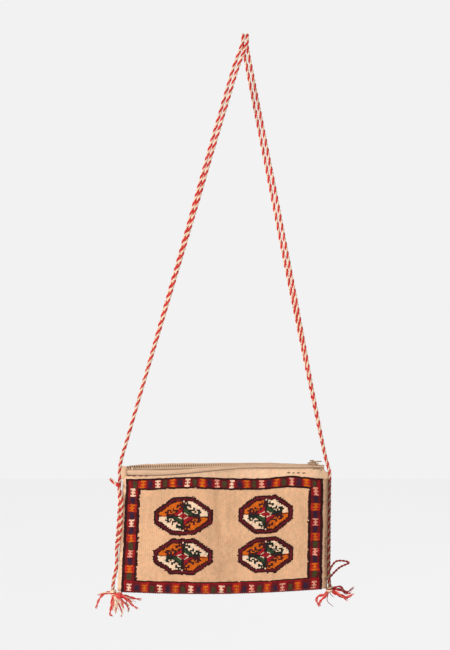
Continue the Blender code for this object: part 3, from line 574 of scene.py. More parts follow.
@dataclass(frozen=True)
class BagShape:
    """Measures of the folded strip and its curves, where share runs 0 to 1 across and level is the height in the bag."""

    width: float = 234.6 * MM
    flare: tuple = (6.5 * MM, -1.3 * MM)
    wall: float = 2.5 * MM
    pile: float = 1.1 * MM
    hem_drop: tuple = (8.9 * MM, 0.5 * MM)
    corner: float = 6.0 * MM
    pile_margins: tuple = (3.4 * MM, 4.2 * MM)
    back_hem_drop: float = 4.0 * MM
    border_drop: tuple = (12.2 * MM, 12.4 * MM)
    border_waves: tuple = ((0.33, 0.16, 2.9 * MM), (0.60, 0.10, 0.8 * MM), (0.82, 0.11, 4.0 * MM))
    bottom_drop: tuple = (142.0 * MM, 138.6 * MM)
    sag: float = 3.9 * MM
    fold_height: float = 10.0 * MM
    depths: tuple = (10.2 * MM, 11.8 * MM, 8.6 * MM)
    edge_depths: tuple = (4.2 * MM, 2.95 * MM)
    squareness: tuple = (10.0, 4.0)
    margins: tuple = (3.9 * MM, 6.0 * MM)
    tilt: float = math.radians(1.43)

    def chain_level(self, x):
        """Height of the zip chain at x."""
        return x * math.tan(self.tilt)

    def corner_drop(self, share):
        """Fall of the hem over the margin at either side, in a straight line."""
        inward = np.minimum(share * self.width / self.margins[0], (1 - share) * self.width / self.margins[1])
        return self.corner * (1 - np.minimum(1.0, inward))

    def front_hem(self, share):
        """Level of the front hem, which climbs to the right by an eased step."""
        return -lerp(*self.hem_drop, eased((share - 0.15) / 0.5)) - self.corner_drop(share)

    def back_hem(self, share):
        """Level of the back hem, a little under the chain."""
        return self.chain_level((share - 0.5) * self.width) - self.back_hem_drop - self.corner_drop(share)

    def border_top(self, share):
        """Level of the pile's top edge: a straight line with three low bell-shaped rises."""
        rises = sum(height * np.exp(-(((share - at) / spread) ** 2)) for at, spread, height in self.border_waves)
        return rises - lerp(*self.border_drop, share)

    def fold_level(self, share):
        """Level where the fold starts: the bottom, sagging by a sine, plus the fold's height."""
        return self.fold_height - lerp(*self.bottom_drop, share) - self.sag * np.sin(math.pi * share)

    def place_across(self, share, level):
        """x at this share and level, between two sides that flare downwards."""
        down = (-self.border_drop[0] - level) / (self.bottom_drop[0] - self.border_drop[0])
        return lerp(-self.width / 2 - self.flare[0] * down, self.width / 2 + self.flare[1] * down, share)

    def half_depth(self, share, down):
        """Half the thickness: two eased steps down the middle, narrowing to the edges by a high power."""
        top, middle, low = self.depths
        upper, lower = lerp(top, middle, eased(down / 0.5)), lerp(middle, low, eased((down - 0.5) / 0.5))
        centre = np.where(down < 0.5, upper, lower)
        edge = lerp(*self.edge_depths, eased(down))
        fullness = 1 - np.abs(2 * share - 1) ** lerp(*self.squareness, eased(2 * down))
        return lerp(edge, centre, fullness)

    def crease(self, share, down):
        """The soft upright hollows of the front: bell curves across times half a sine down, narrow near the top."""
        x = (share - 0.5) * self.width / MM
        held = np.sin(math.pi * np.clip(down, 0, 1))
        wide = 1.3 * np.exp(-(((x + 4.0) / 13.0) ** 2)) * held
        high = 1.5 * np.exp(-(((x + 9.0 - 10.0 * down) / 5.5) ** 2)) * held * np.clip(1.15 - down, 0, 1)
        return MM * (wide + high)

    def wall_point(self, side: int, share, level, raised, inside=False) -> np.ndarray:
        """Points of the front (-1) or back (1) wall above the fold, raised outwards."""
        hem = self.front_hem(share) if side < 0 else self.back_hem(share)
        down = (hem - level) / (hem - self.fold_level(share))
        depth = self.half_depth(share, down) - (self.wall if inside else 0.0)
        if side < 0:
            depth = depth - self.crease(share, down)
        parts = np.broadcast_arrays(self.place_across(share, level), side * (depth + raised), level)
        return np.stack(parts, -1)

    def fold_point(self, share, degrees, raised, inside=False) -> np.ndarray:
        """Points round the half-ellipse of the fold, from 0 degrees at the front to 180 at the back."""
        depth = self.half_depth(share, 1.0) - (self.wall if inside else 0.0)
        height = self.fold_height - (self.wall if inside else 0.0)
        angle = np.radians(degrees)
        outward_y, outward_z = -np.cos(angle) / depth, -np.sin(angle) / height
        length = np.hypot(outward_y, outward_z)
        level = self.fold_level(share) - height * np.sin(angle) + raised * outward_z / length
        y = -depth * np.cos(angle) + raised * outward_y / length
        return np.stack(np.broadcast_arrays(self.place_across(share, level), y, level), -1)


# The pattern of the pile, in knots from the top left corner


class Motif(Enum):
    """Forms of the border's motifs."""

    COMB = "three bars on a stem"
    BAR = "solid bar"


@dataclass(frozen=True)
class PilePattern:
    """The border and the four quartered octagons, painted knot by knot from their measures."""

    columns: int = 98
    rows: int = 77
    guard_row: int = 65
    knot: tuple = (2.275, 1.81)
    medallions: tuple = (
        (28.9, 24.0, 33.2, 21.7), (29.4, 49.2, 33.6, 20.8), (69.9, 22.7, 30.8, 22.0), (70.3, 48.6, 31.6, 21.0),
    )
    cut_share: tuple = (0.62, 0.66)
    outline: tuple = (2.1, 4.1, 5.8)
    core: tuple = (14.6, 12.2)
    hooks: tuple = (
        (11.0, 19.4, 0.0, 2.9), (16.4, 18.9, 2.9, 7.2), (14.4, 16.4, 5.3, 7.2), (18.9, 20.8, 3.6, 5.4),
        (0.0, 2.6, 9.5, 15.6), (2.6, 8.4, 11.3, 13.4), (6.2, 8.4, 9.4, 11.3), (3.4, 5.2, 13.4, 15.2),
        (8.0, 13.0, 5.6, 7.6), (10.8, 13.0, 7.6, 9.8), (12.4, 14.8, 3.4, 5.4),
    )
    top: str = "GONWGONWGONPGWNOGPNOGPNOG"
    bottom: str = "WNOGWNOGWNOGWGONPGONPGONP"
    left: str = "GWNONWNOGPNOGW"
    right: str = "GPNONPNOGPNOGP"

    def motif(self, codes, across, down, centre: tuple, letter: str, reach: float, turn: int, cell: tuple) -> None:
        """Paints one border motif in place, on a ground of its own tone.

        Args:
            codes: Colour codes, one for each face.
            across: Place of each face, in columns.
            down: Place of each face, in rows.
            centre: Column and row of the motif's middle.
            letter: First letter of its wool's colour.
            reach: Half of a comb's width in columns.
            turn: Number of the motif, from which its small differences come.
            cell: Half of its ground's width in columns and height in rows.
        """
        wool = {"G": Wool.GREEN, "O": Wool.ORANGE, "N": Wool.NAVY, "W": Wool.IVORY, "P": Wool.PINK}[letter]
        ground = {"G": Wool.DIM, "O": Wool.BRIGHT, "N": Wool.DIM, "W": Wool.RED, "P": Wool.RED}[letter]
        form = Motif.BAR if letter in "GN" else Motif.COMB
        up = centre[1] + 0.5 - down
        u = np.abs(across - centre[0] - 0.06 * ((turn * 7) % 3 - 1) * up)
        high = np.abs(up)
        codes[(u < cell[0]) & (high < cell[1]) & (codes == CODE[Wool.RED])] = CODE[ground]
        if form is Motif.BAR:
            shape = (u < 0.66 * reach) & (high < 2.1) & (u / reach + high / 6 < 0.92)
        else:
            ends = (high > 1.5) & (high < 2.35) & (u < 0.88 * reach)
            middle = (high < 0.45) & (u < 0.82 * reach)
            shape = ends | middle | ((high <= 1.5) & (u < 0.3 * reach))
        codes[shape] = CODE[wool]

    def border(self, codes, across, down, column, row) -> None:
        """Paints the guards, the red band and its motifs."""
        outer = (column == 0) | (column == self.columns - 1) | (row == 0) | (row >= self.rows - 2)
        teeth = 0.30 * smooth_noise(column * 0.9 + 0.5, row * 0.9 + 0.5, 53)
        ragged_across, ragged_down = across + teeth * ((row % 2) * 2 - 1), down + teeth * ((column % 2) * 2 - 1)
        low, high = 7.0, self.columns - 7.0
        framed = (ragged_across < low) | (ragged_across > high) | (ragged_down < 7.0) | (ragged_down > self.guard_row)
        codes[framed] = CODE[Wool.DARK]
        band = (across < 6.0) | (across > self.columns - 6.0) | (down < 6.0) | (down > self.guard_row + 1.2)
        codes[band] = CODE[Wool.RED]
        turn = 0
        for i, letter in enumerate(self.top):
            self.motif(codes, across, down, (4.3 + 3.72 * i, 3), letter, 1.4, turn := turn + 1, (1.86, 3.2))
        for i, letter in enumerate(self.bottom):
            self.motif(codes, across, down, (3.6 + 3.77 * i, 70), letter, 1.4, turn := turn + 1, (1.89, 4.0))
        for letters, centre in ((self.left, 3.5), (self.right, self.columns - 3.5)):
            for i, letter in enumerate(letters[1:-1], start=1):
                place = (centre, 3 + 4.96 * i)
                self.motif(codes, across, down, place, letter, 1.6, turn := turn + 1, (3.0, 2.48))
        codes[outer] = CODE[Wool.DARK]

    def octagon_field(self, codes, across, down, column, row, centre: tuple) -> None:
        """Paints one medallion: outline, quartered ground, hooked cores and the middle diamond.

        The outline follows the least distance to the octagon's sides, and the core and its hooks are a triangle and
        short bars measured in millimetres from the middle, the same in each quarter and mirrored about it.
        """
        x, y = (across - centre[0]) * self.knot[0], (centre[1] - down) * self.knot[1]
        wide, high = centre[2], centre[3]
        corner = (wide * self.cut_share[0], high * self.cut_share[1])
        slope = np.hypot(1 / corner[0], 1 / corner[1])
        full = wide / corner[0] - 1 + high / corner[1]
        cut = (full - np.abs(x) / corner[0] - np.abs(y) / corner[1]) / slope
        straight = np.minimum(wide - np.abs(x), high - np.abs(y))
        toothed = (x * y > 0) & (cut < straight + 1.0)
        ragged = 0.5 * smooth_noise(column * 1.0, row * 1.0, 51) + 0.3 * smooth_noise(column * 0.31, row * 0.37, 52)
        inward = np.minimum(straight, cut) + ragged + np.where(toothed, 0.9 * ((down * np.sign(x)) % 1 - 0.5), 0.0)
        warm = x * y < 0
        codes[inward > 0] = CODE[Wool.DARK]
        teeth = toothed & ((down - 0.4 * across * np.sign(x)) % 1 < 0.5) & (inward < 3.5)
        codes[(inward > self.outline[0]) & (inward < self.outline[1]) & ~teeth] = CODE[Wool.MAROON]
        inside = inward > self.outline[2]
        codes[inside] = np.where(warm, CODE[Wool.ORANGE], CODE[Wool.WHITE])[inside]
        u, v = np.abs(x), np.abs(y)
        dark = np.where(warm, CODE[Wool.BROWN], CODE[Wool.LEAF_DARK])
        light = np.where(warm, CODE[Wool.CORE], CODE[Wool.LEAF])
        core = u / self.core[0] + v / self.core[1] + 0.08 * ((down * 1.0) % 2 - 1)
        hooked = core < 1.06
        for left, right, low, top in self.hooks:
            hooked |= (u > left) & (u < right) & (v > low) & (v < top)
        codes[inside & hooked] = dark[inside & hooked]
        lit = inside & (core < 0.84) & (u > 1.3) & (v > 1.2)
        codes[lit] = light[lit]
        axis = inside & (((np.abs(y + 0.035 * x) < 0.5) & (u > 12)) | ((np.abs(x - 0.3) < 0.42) & (v > 10)))
        codes[axis] = CODE[Wool.BROWN]
        dot = (u < 0.9) & (np.abs(v - high + self.outline[2] - 0.6) < 0.9)
        codes[dot] = CODE[Wool.WHITE]
        diamond = u / 7.4 + v / 4.2
        codes[diamond < 1.12] = CODE[Wool.BROWN]
        rim = (diamond > 0.84) & (diamond < 1.10) & (u > 1.3) & (v > 0.7)
        codes[rim] = CODE[Wool.WHITE]
        codes[diamond < 0.66] = CODE[Wool.CORE]
        codes[diamond < 0.2] = CODE[Wool.BROWN]

    def paint(self, column: np.ndarray, row: np.ndarray, across: np.ndarray, down: np.ndarray) -> np.ndarray:
        """Colour codes of the faces.

        Args:
            column: Column of knots of each face.
            row: Row of knots of each face.
            across: Its middle in columns, finer than a knot.
            down: Its middle in rows.
        Returns:
            The codes, in the shape of the arguments.
        """
        codes = np.full(column.shape, CODE[Wool.CREAM])
        for centre in self.medallions:
            self.octagon_field(codes, across, down, column, row, centre)
        self.border(codes, across, down, column, row)
        return codes


# The woven strip


@dataclass
class WovenStrip:
    """One strip folded at the bottom: knotted pile in front and round the fold, plain weave behind and within."""

    shape: BagShape
    pattern: PilePattern
    guard: float = 3.3 * MM
    band: float = 2.15 * MM
    step: float = 0.6 * MM
    knot_rise: float = 0.50 * MM
    relief: float = 0.15 * MM
    lean: float = 0.28 * MM
    rib: float = 0.22 * MM
    roll: float = 1.0 * MM
    back_rows: int = 66
    inner_columns: int = 60
    inner_rows: int = 12

    def column_lines(self) -> tuple:
        """Lines across the strip: shares, knot column of each gap (or -1 in a margin), and the rib height of each line."""
        sides = [1] + [5] + [1]
        widths = [self.guard, *[self.band] * 5, self.guard]
        margins = self.shape.pile_margins
        taken = 2 * sum(widths) + sum(margins) + 2 * self.step
        field_width = (self.shape.width - taken) / (self.pattern.columns - 2 * sum(sides))
        knots = np.array(widths + [field_width] * (self.pattern.columns - 14) + widths[::-1])
        starts = margins[0] + self.step + np.concatenate([[0.0], np.cumsum(knots)])
        thirds = starts[:-1, None] + knots[:, None] * np.arange(3)[None] / 3
        left = margins[0] * np.array([0.0, 0.05, 0.14, 0.26, 0.40, 0.55, 0.70, 0.85, 1.0])
        right = self.shape.width - margins[1] * np.array([1.0, 0.88, 0.77, 0.66, 0.55, 0.44, 0.34, 0.25, 0.17, 0.10, 0.04, 0.0])
        lines = np.concatenate([left, thirds.ravel(), starts[-1:], right])
        column = np.concatenate([np.full(len(left), -1), np.repeat(np.arange(self.pattern.columns), 3), np.full(len(right), -1)])
        crest = np.concatenate([np.zeros(len(left)), np.tile([0.0, 1.0, 1.0], self.pattern.columns), [0.0], np.zeros(len(right))])
        return lines / self.shape.width, column, crest

    def row_lines(self) -> tuple:
        """Rows of the flat pile: heights of the gaps between lines, two for each knot, and the knot row of each gap."""
        heights = [2.3, *[1.75] * 5, 2.3, *[1.8] * 58, *[1.5] * 3]
        halves = np.repeat(np.array(heights) * MM / 2, 2)
        return halves, np.repeat(np.arange(len(heights)), 2)

    def roll_off(self, distance: np.ndarray) -> np.ndarray:
        """How far a surface falls at this distance from its edge: a quarter circle."""
        near = np.clip(self.roll - distance, 0.0, self.roll)
        return self.roll - np.sqrt(self.roll**2 - near**2)

    def outer(self) -> tuple:
        """The outside from the front hem, round the fold, to the back hem.

        Each line across is worked out at every row at once: the wall's depth plus the pile, plus a small dome for each
        knot that is high in its middle and low at its sides, plus the roll at the selvedges and hems.

        Returns:
            Points, face colours, face materials, UV across and UV along.
        """
        shape, pattern = self.shape, self.pattern
        share, column, crest = self.column_lines()
        halves, flat_rows = self.row_lines()
        lines = len(share)
        edge = self.roll_off(np.minimum(share, 1 - share) * shape.width)
        hem, top, fold = shape.front_hem(share), shape.border_top(share), shape.fold_level(share)
        margin_rows = 9
        margin = [lerp(hem, top + self.step, k) for k in np.linspace(0, 1, margin_rows) ** 1.2]
        stretch = (top - fold) / halves.sum()
        flat = top[:, None] - np.concatenate([[0.0], np.cumsum(halves)])[None] * stretch[:, None]
        levels = np.concatenate([np.stack(margin, 1), flat], 1)
        fold_rows = 9
        turn = np.radians(np.linspace(0, 100, 400))
        arc = run_lengths(np.stack([8.6 * np.cos(turn), 10 * np.sin(turn), 0 * turn], 1))
        fold_degrees = np.interp(np.linspace(0, arc[-1], 2 * fold_rows + 1)[1:], arc, np.degrees(turn))
        row = np.concatenate([np.full(margin_rows, -1), flat_rows, np.repeat(np.arange(68, 68 + fold_rows), 2)])
        pile_lines = 1 + len(halves) + 2 * fold_rows
        knots_up = np.zeros(levels.shape[1] + 2 * fold_rows)
        knots_up[margin_rows:] = np.arange(pile_lines) % 2
        in_pile = np.zeros((lines, len(knots_up)))
        pile_columns = slice(9, 9 + 3 * pattern.columns + 1)
        in_pile[pile_columns, margin_rows:] = 1.0
        face_column = np.broadcast_to(column[:, None], (lines - 1, len(row)))
        face_row = np.broadcast_to(row[None], (lines - 1, len(row)))
        third = np.concatenate([np.zeros(9), np.tile([1 / 6, 0.5, 5 / 6], pattern.columns), np.zeros(12)])
        half = np.concatenate([np.zeros(margin_rows), np.tile([0.25, 0.75], 68 + fold_rows)])
        codes = pattern.paint(face_column, face_row, face_column + third[:, None], face_row + half[None])
        rng = np.random.default_rng(11)
        rise = rng.uniform(0.55, 1.0, (pattern.columns + 2, pattern.rows + 2))
        slant = rng.normal(0.0, 1.0, (2, pattern.columns + 2, pattern.rows + 2))
        line_column = np.append(column, -1)[:lines]
        line_row = np.append(row, row[-1])
        knot = (line_column[:, None], line_row[None])
        dome = crest[:, None] * (0.35 + 0.65 * knots_up[None])
        raised = in_pile * (shape.pile + self.knot_rise * (dome * rise[knot] - 0.3))
        around = np.zeros((lines, len(knots_up)))
        patterned = (codes != CODE[Wool.CREAM]) & (face_column >= 0) & (face_row >= 0)
        around[:-1, :-1] = patterned[:, : len(knots_up) - 1]
        raised += in_pile * self.relief * around
        x_at, row_at = share[:, None] * shape.width / MM, np.arange(len(knots_up))[None]
        fur = 0.30 * smooth_noise(x_at / 1.5 + 0 * row_at, row_at / 1.3 + 0 * x_at, 13)
        fur += 0.25 * smooth_noise(x_at / 5.0 + 0 * row_at, row_at / 4.0 + 0 * x_at, 14)
        raised += (1 - in_pile) * MM * (1.5 * fur + 0.3)
        x_mm, v = share[:, None] * shape.width / MM, np.arange(len(knots_up))[None] * 1.0
        wavy = 0.40 * smooth_noise(x_mm / 6.0 + 0 * v, v / 6.0, 3) + 0.30 * smooth_noise(x_mm / 2.0 + 0 * v, v / 2.1, 4)
        waves_up = 0.36 * smooth_noise(x_mm / 5.0 + 0 * v, v / 7.0, 5) + 0.24 * smooth_noise(x_mm / 2.0 + 0 * v, v / 2.3, 6)
        shift_x = in_pile * (wavy * MM + 0.10 * MM * dome * slant[0][knot])
        shift_z = in_pile * (waves_up * MM - self.lean * dome + 0.08 * MM * dome * slant[1][knot])
        puff = 0.60 * MM * smooth_noise(x_mm / 24.0 + 0 * v, v / 50.0, 8) + 0.16 * MM * smooth_noise(x_mm / 8.0 + 0 * v, v / 18.0, 9)
        flat_count = levels.shape[1]
        from_hem = hem[:, None] - levels
        raised_flat = raised[:, :flat_count] + puff[:, :flat_count] - edge[:, None] - self.roll_off(from_hem)
        front = shape.wall_point(-1, share[:, None], levels, raised_flat)
        folded = shape.fold_point(share[:, None], fold_degrees[None], raised[:, flat_count:] - edge[:, None])
        upper = np.concatenate([front, folded], 1)
        upper[..., 0] += shift_x
        upper[..., 2] += shift_z * np.concatenate([np.ones(flat_count), np.cos(np.radians(fold_degrees))])[None]
        ribs = self.rib * np.where((line_column >= 0)[:, None], crest[:, None], 0.5)
        round_back = np.concatenate([[104.0], np.linspace(112, 180, 8)])
        under = shape.fold_point(share[:, None], round_back[None], ribs - edge[:, None])
        back_hem = shape.back_hem(share)
        climb = np.linspace(0, 1, self.back_rows + 1)[1:]
        climb = np.append(climb[:-1], [1 - 0.5 / 130, 1.0])
        back_levels = lerp(fold[:, None], back_hem[:, None], climb[None])
        quilt = 0.5 * MM * smooth_noise(x_mm / 30.0 + 0 * climb[None], climb[None] * 5.0, 12)
        back_raise = ribs - edge[:, None] + quilt * np.sin(math.pi * climb[None]) - self.roll_off(back_hem[:, None] - back_levels)
        back = shape.wall_point(1, share[:, None], back_levels, back_raise)
        points = np.concatenate([upper, under, back], 1)
        right_margin = shape.pile_margins[1] / shape.width
        points[..., 0] += (1.1 * MM * np.clip((share - 1 + right_margin) / right_margin, 0, 1))[:, None]
        tints, kinds = self.face_colours(codes, face_column, face_row, points.shape[1] - 1)
        along = run_lengths(points[lines // 2]) / MM
        return points, tints, kinds, share * shape.width / MM, along

    def face_colours(self, codes, face_column, face_row, rows: int) -> tuple:
        """Linear colour and material of every face, with each knot's own tone and slow streaks along the warps, and
        painted shade in a band down the middle of the plain field and on the right margin.
        """
        lines = codes.shape[0]
        rng = np.random.default_rng(5)
        tone = 1 + 0.07 * rng.standard_normal((self.pattern.columns + 2, self.pattern.rows + 2))
        warmth = 0.02 * rng.standard_normal((self.pattern.columns + 2, self.pattern.rows + 2))
        i, j = np.arange(lines)[:, None] / 3.0, np.arange(codes.shape[1])[None] / 2.0
        streaks_and_painted_shade = 0.035 * smooth_noise(i / 1.4 + 0 * j, j / 14.0 + 0 * i, 21) + 0.03 * smooth_noise(i / 7 + 0 * j, j / 9.0 + 0 * i, 22)
        flat = (face_column < 0) | (face_row < 0)
        codes = np.where(flat, CODE[Wool.HEM], codes)
        plain = (codes == CODE[Wool.CREAM]) | flat
        blotch = 0.06 * smooth_noise(i / 7.0 + 0 * j, j / 9.0 + 0 * i, 23) + 0.05 * smooth_noise(i / 1.1 + 0 * j, j / 1.6 + 0 * i, 24)
        # Painted shade: a soft upright band down the middle of the plain field is drawn darker, as the shade of the
        # fold there.
        wear_and_painted_shade = 0.13 * np.exp(-(((i - 0.53 * self.pattern.columns) / 9.0) ** 2))
        streaks_and_painted_shade = streaks_and_painted_shade + (blotch - wear_and_painted_shade) * plain
        amount = tone[face_column, face_row] * np.where(flat, 0, 1) + np.where(flat, 1, 0)
        amount = 1 + (amount - 1) * np.where(plain, 0.38, 1.5) + streaks_and_painted_shade * np.where(plain, 1.2, 1.8)
        hue = warmth[face_column, face_row] * np.where(plain, 1, 2.5)
        # Painted shade: over the last twelve lines towards the right selvedge, the margin's flat faces are drawn darker
        # and warmer.
        painted_shade = np.concatenate([np.zeros(lines - 12), np.linspace(0.15, 1.0, 12)])[:, None] * (face_row >= 0) * flat
        amount = amount * (1 - 0.86 * painted_shade)
        hue = hue + 0.15 * painted_shade
        front = PALETTE[codes] * amount[..., None] * (1 + hue[..., None] * np.array([1.0, -0.4, -1.0]))
        behind = rows - codes.shape[1]
        k = np.arange(behind)[None]
        bands = 1 + 0.05 * smooth_noise(0 * i + 3.0 + 0 * k, k / 5.0 + 0 * i, 31) + 0.025 * smooth_noise(i + 0 * k, k / 2.0 + 0 * i, 32)
        back = PALETTE[CODE[Wool.FLAT]][None, None] * bands[..., None]
        kinds = np.concatenate([np.zeros(flat.shape, bool), np.ones((lines, behind), bool)], 1).astype(int)
        return np.concatenate([front, back], 1), kinds

    def inner(self) -> np.ndarray:
        """The inside, from the front hem down, round the fold and up to the back hem, on a coarser grid."""
        shape = self.shape
        share = np.linspace(0, 1, self.inner_columns)
        share = (0.5 - 0.5 * np.cos(math.pi * share)) * 0.3 + share * 0.7
        hem, fold, back = shape.front_hem(share), shape.fold_level(share), shape.back_hem(share)
        down = np.linspace(0, 1, self.inner_rows)[None]
        front = shape.wall_point(-1, share[:, None], lerp(hem[:, None], fold[:, None], down), 0.0, True)
        under = shape.fold_point(share[:, None], np.linspace(15, 165, 9)[None], 0.0, True)
        behind = shape.wall_point(1, share[:, None], lerp(fold[:, None], back[:, None], down), 0.0, True)
        return np.concatenate([front, under, behind], 1)

    def build(self, finishes: Finishes) -> bpy.types.Object:
        """The strip as one closed piece: outside, inside, and the seams between them at hems and selvedges."""
        cloth = Cloth()
        points, tints, kinds, across, along = self.outer()
        first = cloth.add_grid(points + BAG_AT, tints.reshape(-1, 3), across, along, kind=kinds.reshape(-1))
        lines, rows = points.shape[:2]
        inner = self.inner()
        flat = PALETTE[CODE[Wool.FLAT]]
        turned = np.ascontiguousarray(inner[:, ::-1]) + BAG_AT
        spread, deep = np.linspace(0, 234, inner.shape[0]), np.linspace(0, 280, inner.shape[1])
        # Painted shade: the inside is drawn 0.92 times the flat weave's colour, darker than the same cloth outside.
        start = cloth.add_grid(turned, flat * 0.92, spread, deep, kind=1)
        inner_rows = inner.shape[1]
        ahead, within = first + np.arange(lines) * rows, start + np.arange(inner.shape[0]) * inner_rows
        cloth.add_seam(within + inner_rows - 1, ahead, flat, 1)
        cloth.add_seam(ahead + rows - 1, within, flat, 1)
        side, hidden = first + np.arange(rows), start + np.arange(inner_rows)[::-1]
        cloth.add_seam(side, hidden, flat, 1)
        last, hidden_last = first + (lines - 1) * rows, start + (inner.shape[0] - 1) * inner_rows
        cloth.add_seam(hidden_last + np.arange(inner_rows)[::-1], last + np.arange(rows), flat, 1)
        materials = [finishes.get("pile_wool"), finishes.get("flat_weave_wool")]
        return cloth.piece("woven_strip", materials, "bag", ("woven_body",))


# The zip


@dataclass
class CoilZip:
    """Two woven tapes and two nylon coils, with the slider, pull tab and stops of the frame."""

    shape: BagShape
    slit: float = 1.2 * MM
    thickness: float = 0.8 * MM
    lift: float = 0.3 * MM
    seat: float = 3.5 * MM
    flat: float = 5.2 * MM
    fold_width: float = 1.3 * MM
    tuck: float = 6.0 * MM
    insets: tuple = (0.8 * MM, 3.5 * MM)
    half_length: float = 105.3 * MM
    pitch: float = 2.6 * MM
    coil_width: float = 2.0 * MM
    coil_height: float = 1.9 * MM
    filament: float = 0.46 * MM
    roll: float = math.radians(24.0)
    roll_place: tuple = (-92.0 * MM, -72.0 * MM, -60.0 * MM, 0.0)
    ridge: tuple = ((-118, -112, -105, -90, -78, -20, 53, 92, 118), (0.6, 2.0, 2.9, 3.8, 4.3, 5.0, 5.3, 3.3, 2.6))

    def roll_at(self, x):
        """How far the chain is turned towards the front, about its own line: most left of the middle, none at the ends."""
        start, full, from_there, gone = self.roll_place
        return self.roll * eased((x - start) / (full - start)) * (1 - eased((x - from_there) / (gone - from_there)))

    def section(self, side: int, x: np.ndarray) -> tuple:
        """Middle line of a tape at each x: out from the chain, up over its fold and down into the mouth."""
        shape = self.shape
        share = x / shape.width + 0.5
        hem = shape.front_hem(share) if side < 0 else shape.back_hem(share)
        fold = shape.fold_level(share)
        seat = shape.wall + 0.6 * MM + self.thickness / 2
        tuck = hem - self.tuck
        tuck_down = self.tuck / (hem - fold)
        at_hem, at_tuck = shape.half_depth(share, 0.0 * share) - seat, shape.half_depth(share, tuck_down) - seat
        if side < 0:
            at_hem, at_tuck = at_hem - shape.crease(share, 0.0), at_tuck - shape.crease(share, tuck_down)
            rise = 2.0 * MM * eased((share - 0.22) / 0.2)
            rise = rise * eased((at_hem + self.thickness - self.flat) / (2 * self.fold_width))
        flat = np.minimum(self.flat, at_hem)
        level = shape.chain_level(x) - self.lift - self.thickness / 2
        if side > 0:
            rise = np.interp(x / MM, *self.ridge) * MM - level
        outer = np.maximum(flat + 0.2 * MM, np.minimum(flat + self.fold_width, at_hem))
        slope = side * np.tan(self.roll_at(x))
        y = np.stack([self.slit / 2 + 0 * x, flat, outer, at_hem, at_tuck], 1)
        inner, edge = level + slope * self.slit / 2, level + slope * flat
        z = np.stack([inner, edge, np.maximum(edge, level + rise), np.minimum(hem, edge - self.thickness), tuck], 1)
        return side * y, z

    def tape(self, side: int, word: str, finishes: Finishes) -> bpy.types.Object:
        """A tape: its middle line rounded at the folds, given its thickness, and carried along the chain."""
        shape = self.shape
        x = np.linspace(-shape.width / 2 + self.insets[0], shape.width / 2 - self.insets[1], 480)
        y, z = self.section(side, x)
        steps = np.sqrt(np.diff(y, axis=1) ** 2 + np.diff(z, axis=1) ** 2)
        run = np.concatenate([np.zeros((len(x), 1)), np.cumsum(steps, axis=1)], 1)
        wanted = np.linspace(0, 1, 25)
        line = np.empty((len(x), len(wanted), 2))
        for k in range(len(x)):
            line[k, :, 0] = np.interp(wanted * run[k, -1], run[k], y[k])
            line[k, :, 1] = np.interp(wanted * run[k, -1], run[k], z[k])
        for _ in range(2):
            line[:, 1:-1] = 0.25 * line[:, :-2] + 0.5 * line[:, 1:-1] + 0.25 * line[:, 2:]
        pucker = 0.22 * MM * smooth_noise(x[:, None] / MM / 5 + 0 * wanted, 0 * x[:, None] + wanted * 3, 41 + side)
        along = unit(np.gradient(line, axis=1))
        normal = np.stack([-along[..., 1], along[..., 0]], -1)
        line = line + normal * (pucker * np.sin(math.pi * wanted[None]))[..., None]
        half = self.thickness / 2
        loop = np.concatenate([line + normal * half, (line - normal * half)[:, ::-1]], 1)
        grid = np.concatenate([np.broadcast_to(x[:, None, None], (*loop.shape[:2], 1)), loop], -1) + BAG_AT
        cloth = Cloth()
        ring = np.swapaxes(grid, 0, 1)
        count = ring.shape[0]
        shade = 1 + 0.05 * smooth_noise(np.arange(count)[:, None] / 6.0 + 0 * x[None, 1:], x[None, 1:] / MM / 9 + 0 * np.arange(count)[:, None], 44)
        from_chain = (np.concatenate([wanted, wanted[::-1]])[:, None] * run[:, -1][None] / MM + 0.6)[:, 1:]
        hem = (shape.front_hem(x / shape.width + 0.5) if side < 0 else shape.back_hem(x / shape.width + 0.5))[None, 1:]
        over_hem = (ring[:, 1:, 2] - BAG_AT[2] - hem) / MM
        # Painted shade: the tape is drawn darker within about 2.3 mm of the chain, under the coil, and where it dips
        # below the hem's edge.
        shade_under_coil = lerp(0.85, 1.0, eased((from_chain - 2.3) / 0.6))
        in_shade = lerp(0.45, 1.0, eased((over_hem - 0.1) / 1.3))
        rib = 1 + 0.07 * np.sin(2 * math.pi * x[None, 1:] / (2.6 * MM)) + 0.05 * np.sin(2 * math.pi * from_chain / 1.6 + 2.1)
        if side > 0:
            # Painted shade: slanted dark marks at the coil's pitch along the back tape's ridge stand for the shaded
            # gaps between the coil's teeth.
            above = (ring[:, 1:, 2] - BAG_AT[2] - shape.chain_level(x)[None, 1:]) / MM
            tooth_gap_shade = np.exp(-(((above - 2.0) / 1.9) ** 4)) * lerp(1.0, 0.3, eased((x[None, 1:] / MM + 60) / 90))
            slanted = eased(0.5 + 0.9 * np.sin(2 * math.pi * (x[None, 1:] / (2.6 * MM) + 0.12 * above)))
            # Painted light: towards its left end the back tape is drawn up to 1.45 times brighter, against the shadow
            # of the folded end and the cord.
            rib = rib * (1 - 0.9 * tooth_gap_shade * slanted) * lerp(1.45, 1.0, eased((x[None, 1:] / MM + 116) / 14))
        tint = linear(Yarn.TAPE.value)[None, None] * (shade * shade_under_coil * in_shade * rib)[..., None]
        first = cloth.add_grid(ring, tint.reshape(-1, 3), np.linspace(0, 60, count + 1), x / MM * 0.85, ring=True)
        ends = first + np.arange(count) * len(x)
        flat_tint = linear(Yarn.BEIGE.value)
        cloth.add_fan(ring[:, 0].mean(0), ends, flat_tint, (0.0, 0.0))
        cloth.add_fan(ring[:, -1].mean(0), (ends + len(x) - 1)[::-1], flat_tint, (0.0, 0.0))
        if side < 0:
            self.add_folded_end(cloth)
        made = cloth.piece(f"woven_tape_{word}", [finishes.get("tape_cotton")], "bag", (f"zip_tape_{word}",))
        return made

